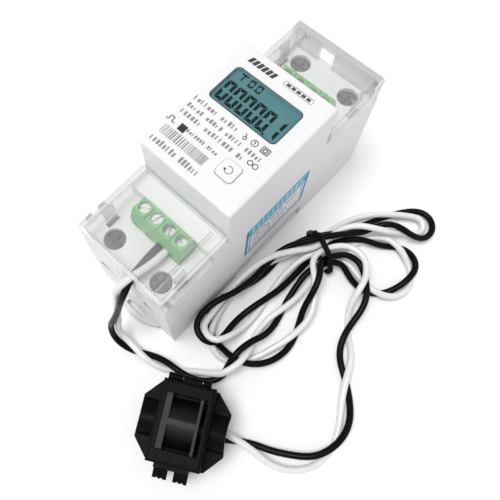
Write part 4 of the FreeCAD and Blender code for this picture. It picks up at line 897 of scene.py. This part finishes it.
button_mark()

# Side label, on the leaning right wall
WALL_LEAN, WALL_TALL = 0.8, 65.5
WALL_UP = Vector((-WALL_LEAN, 0, WALL_TALL)).normalized()
LABEL_WIDE, LABEL_TALL = 30, 22
LABEL_BORDER = 1.1
TITLE_FOOT, TITLE_HEAD = 16.0, 21.2
INNER_GAP = 2.1             # from the label's edge to its inner frame
INNER_HEAD = 15.2


def label_sheet(lift):
    """The label's plane, this far in front of its foot, with its origin at the lower front corner."""
    near, far = corners("seal_label")
    return Print(Vector((far.x + lift, near.y, near.z)), Y_AXIS, WALL_UP)


def label_border():
    sheet = label_sheet(LIFT)
    right_side = LABEL_WIDE - LABEL_BORDER
    sheet.bar(0, TITLE_HEAD, LABEL_WIDE, LABEL_TALL, 1)
    sheet.bar(0, 0, LABEL_WIDE, LABEL_BORDER, 0)
    sheet.bar(0, LABEL_BORDER, LABEL_BORDER, TITLE_HEAD, 0)
    sheet.bar(right_side, LABEL_BORDER, LABEL_WIDE, TITLE_HEAD, 0)
    sheet.bar(LABEL_BORDER, TITLE_FOOT, right_side, TITLE_HEAD, 1)
    end = LABEL_WIDE - INNER_GAP
    sheet.chain([(INNER_GAP, INNER_GAP), (end, INNER_GAP), (end, INNER_HEAD), (INNER_GAP, INNER_HEAD),
                 (INNER_GAP, INNER_GAP)], 0.5, 0)
    sheet.piece("label_border", "meter", [BLUE, PALE_BLUE], "label")


def label_lines():
    """Five rows of plain blocks."""
    sheet = label_sheet(1.25 * LIFT)
    for row in range(5):
        short = 2 * (row % 3)
        sheet.blocks(4.0, 26.0 - short, 12.4 - 2.3 * row, 1.1, 20 - short, rng)
    sheet.piece("label_lines", "meter", [PRINT_PALE], "label")


def label_blocks():
    """Leaning blocks in the title bar."""
    sheet = label_sheet(1.25 * LIFT)
    for k in range(11):
        sheet.leaning(2.5 + 2.3 * k, 17.4, 1.0, 20.1, 0.6)
    sheet.piece("label_blocks", "meter", [FINISH["label"]], "label")


label_border()
label_lines()
label_blocks()


# Floor, light and background
FLOOR_WHITE = 0.93
FLOOR_GLOW = 0.07
FLOOR_HALF = 2              # metres
SKY_LIGHT = 0.50
KEY_FROM = (-0.12, -0.20, 0.97)
KEY_STRENGTH = 1.9
KEY_WIDE = 28               # degrees


def seen_amount(tree, hidden, shown):
    """A number for the rays that light the object, and another for those that show the background."""
    rays = tree.nodes.new("ShaderNodeLightPath").outputs
    seen = rays["Is Camera Ray"]
    for name in ("Is Glossy Ray", "Is Transmission Ray"):
        seen = number(tree, "MAXIMUM", seen, rays[name])
    amount = tree.nodes.new("ShaderNodeMapRange")
    amount.inputs["To Min"].default_value = hidden
    amount.inputs["To Max"].default_value = shown
    tree.links.new(seen, amount.inputs["Value"])
    return amount.outputs["Result"]


def make_floor():
    """White ground that keeps the object's shadow."""
    material, tree, shader = new_material("floor")
    nodes, links = tree.nodes, tree.links
    nodes.remove(shader)
    matt = nodes.new("ShaderNodeBsdfDiffuse")
    matt.inputs["Color"].default_value = (FLOOR_WHITE, FLOOR_WHITE, FLOOR_WHITE, 1)
    glow = nodes.new("ShaderNodeEmission")
    both = nodes.new("ShaderNodeAddShader")
    links.new(seen_amount(tree, 0, FLOOR_GLOW), glow.inputs["Strength"])
    links.new(matt.outputs["BSDF"], both.inputs[0])
    links.new(glow.outputs["Emission"], both.inputs[1])
    links.new(both.outputs["Shader"], nodes["Material Output"].inputs["Surface"])
    height = FLOOR_Z - 0.01 * MM
    edge = [Vector((x * FLOOR_HALF, y * FLOOR_HALF, height))
            for x, y in ((-1, -1), (1, -1), (1, 1), (-1, 1))]
    mesh_piece("floor", edge, [(0, 1, 2, 3)], [material], smooth=False)


def make_world():
    """White background that lights the object with less than it shows."""
    world = bpy.data.worlds.new("world")
    world.use_nodes = True
    sky = world.node_tree.nodes["Background"]
    sky.inputs["Color"].default_value = (1, 1, 1, 1)
    world.node_tree.links.new(seen_amount(world.node_tree, SKY_LIGHT, 1), sky.inputs["Strength"])
    bpy.context.scene.world = world


def soft_sun(name, towards, strength, angle):
    """Distant soft light that shines from the direction towards."""
    data = bpy.data.lights.new(name, "SUN")
    data.energy = strength
    data.angle = math.radians(angle)
    light = bpy.data.objects.new(name, data)
    light.rotation_mode = "QUATERNION"
    light.rotation_quaternion = (-Vector(towards)).to_track_quat("-Z", "Y")
    bpy.context.scene.collection.objects.link(light)


make_floor()
make_world()
soft_sun("key", KEY_FROM, KEY_STRENGTH, KEY_WIDE)

scene = bpy.context.scene
scene.view_settings.view_transform = "Standard"
scene.view_settings.look = "None"
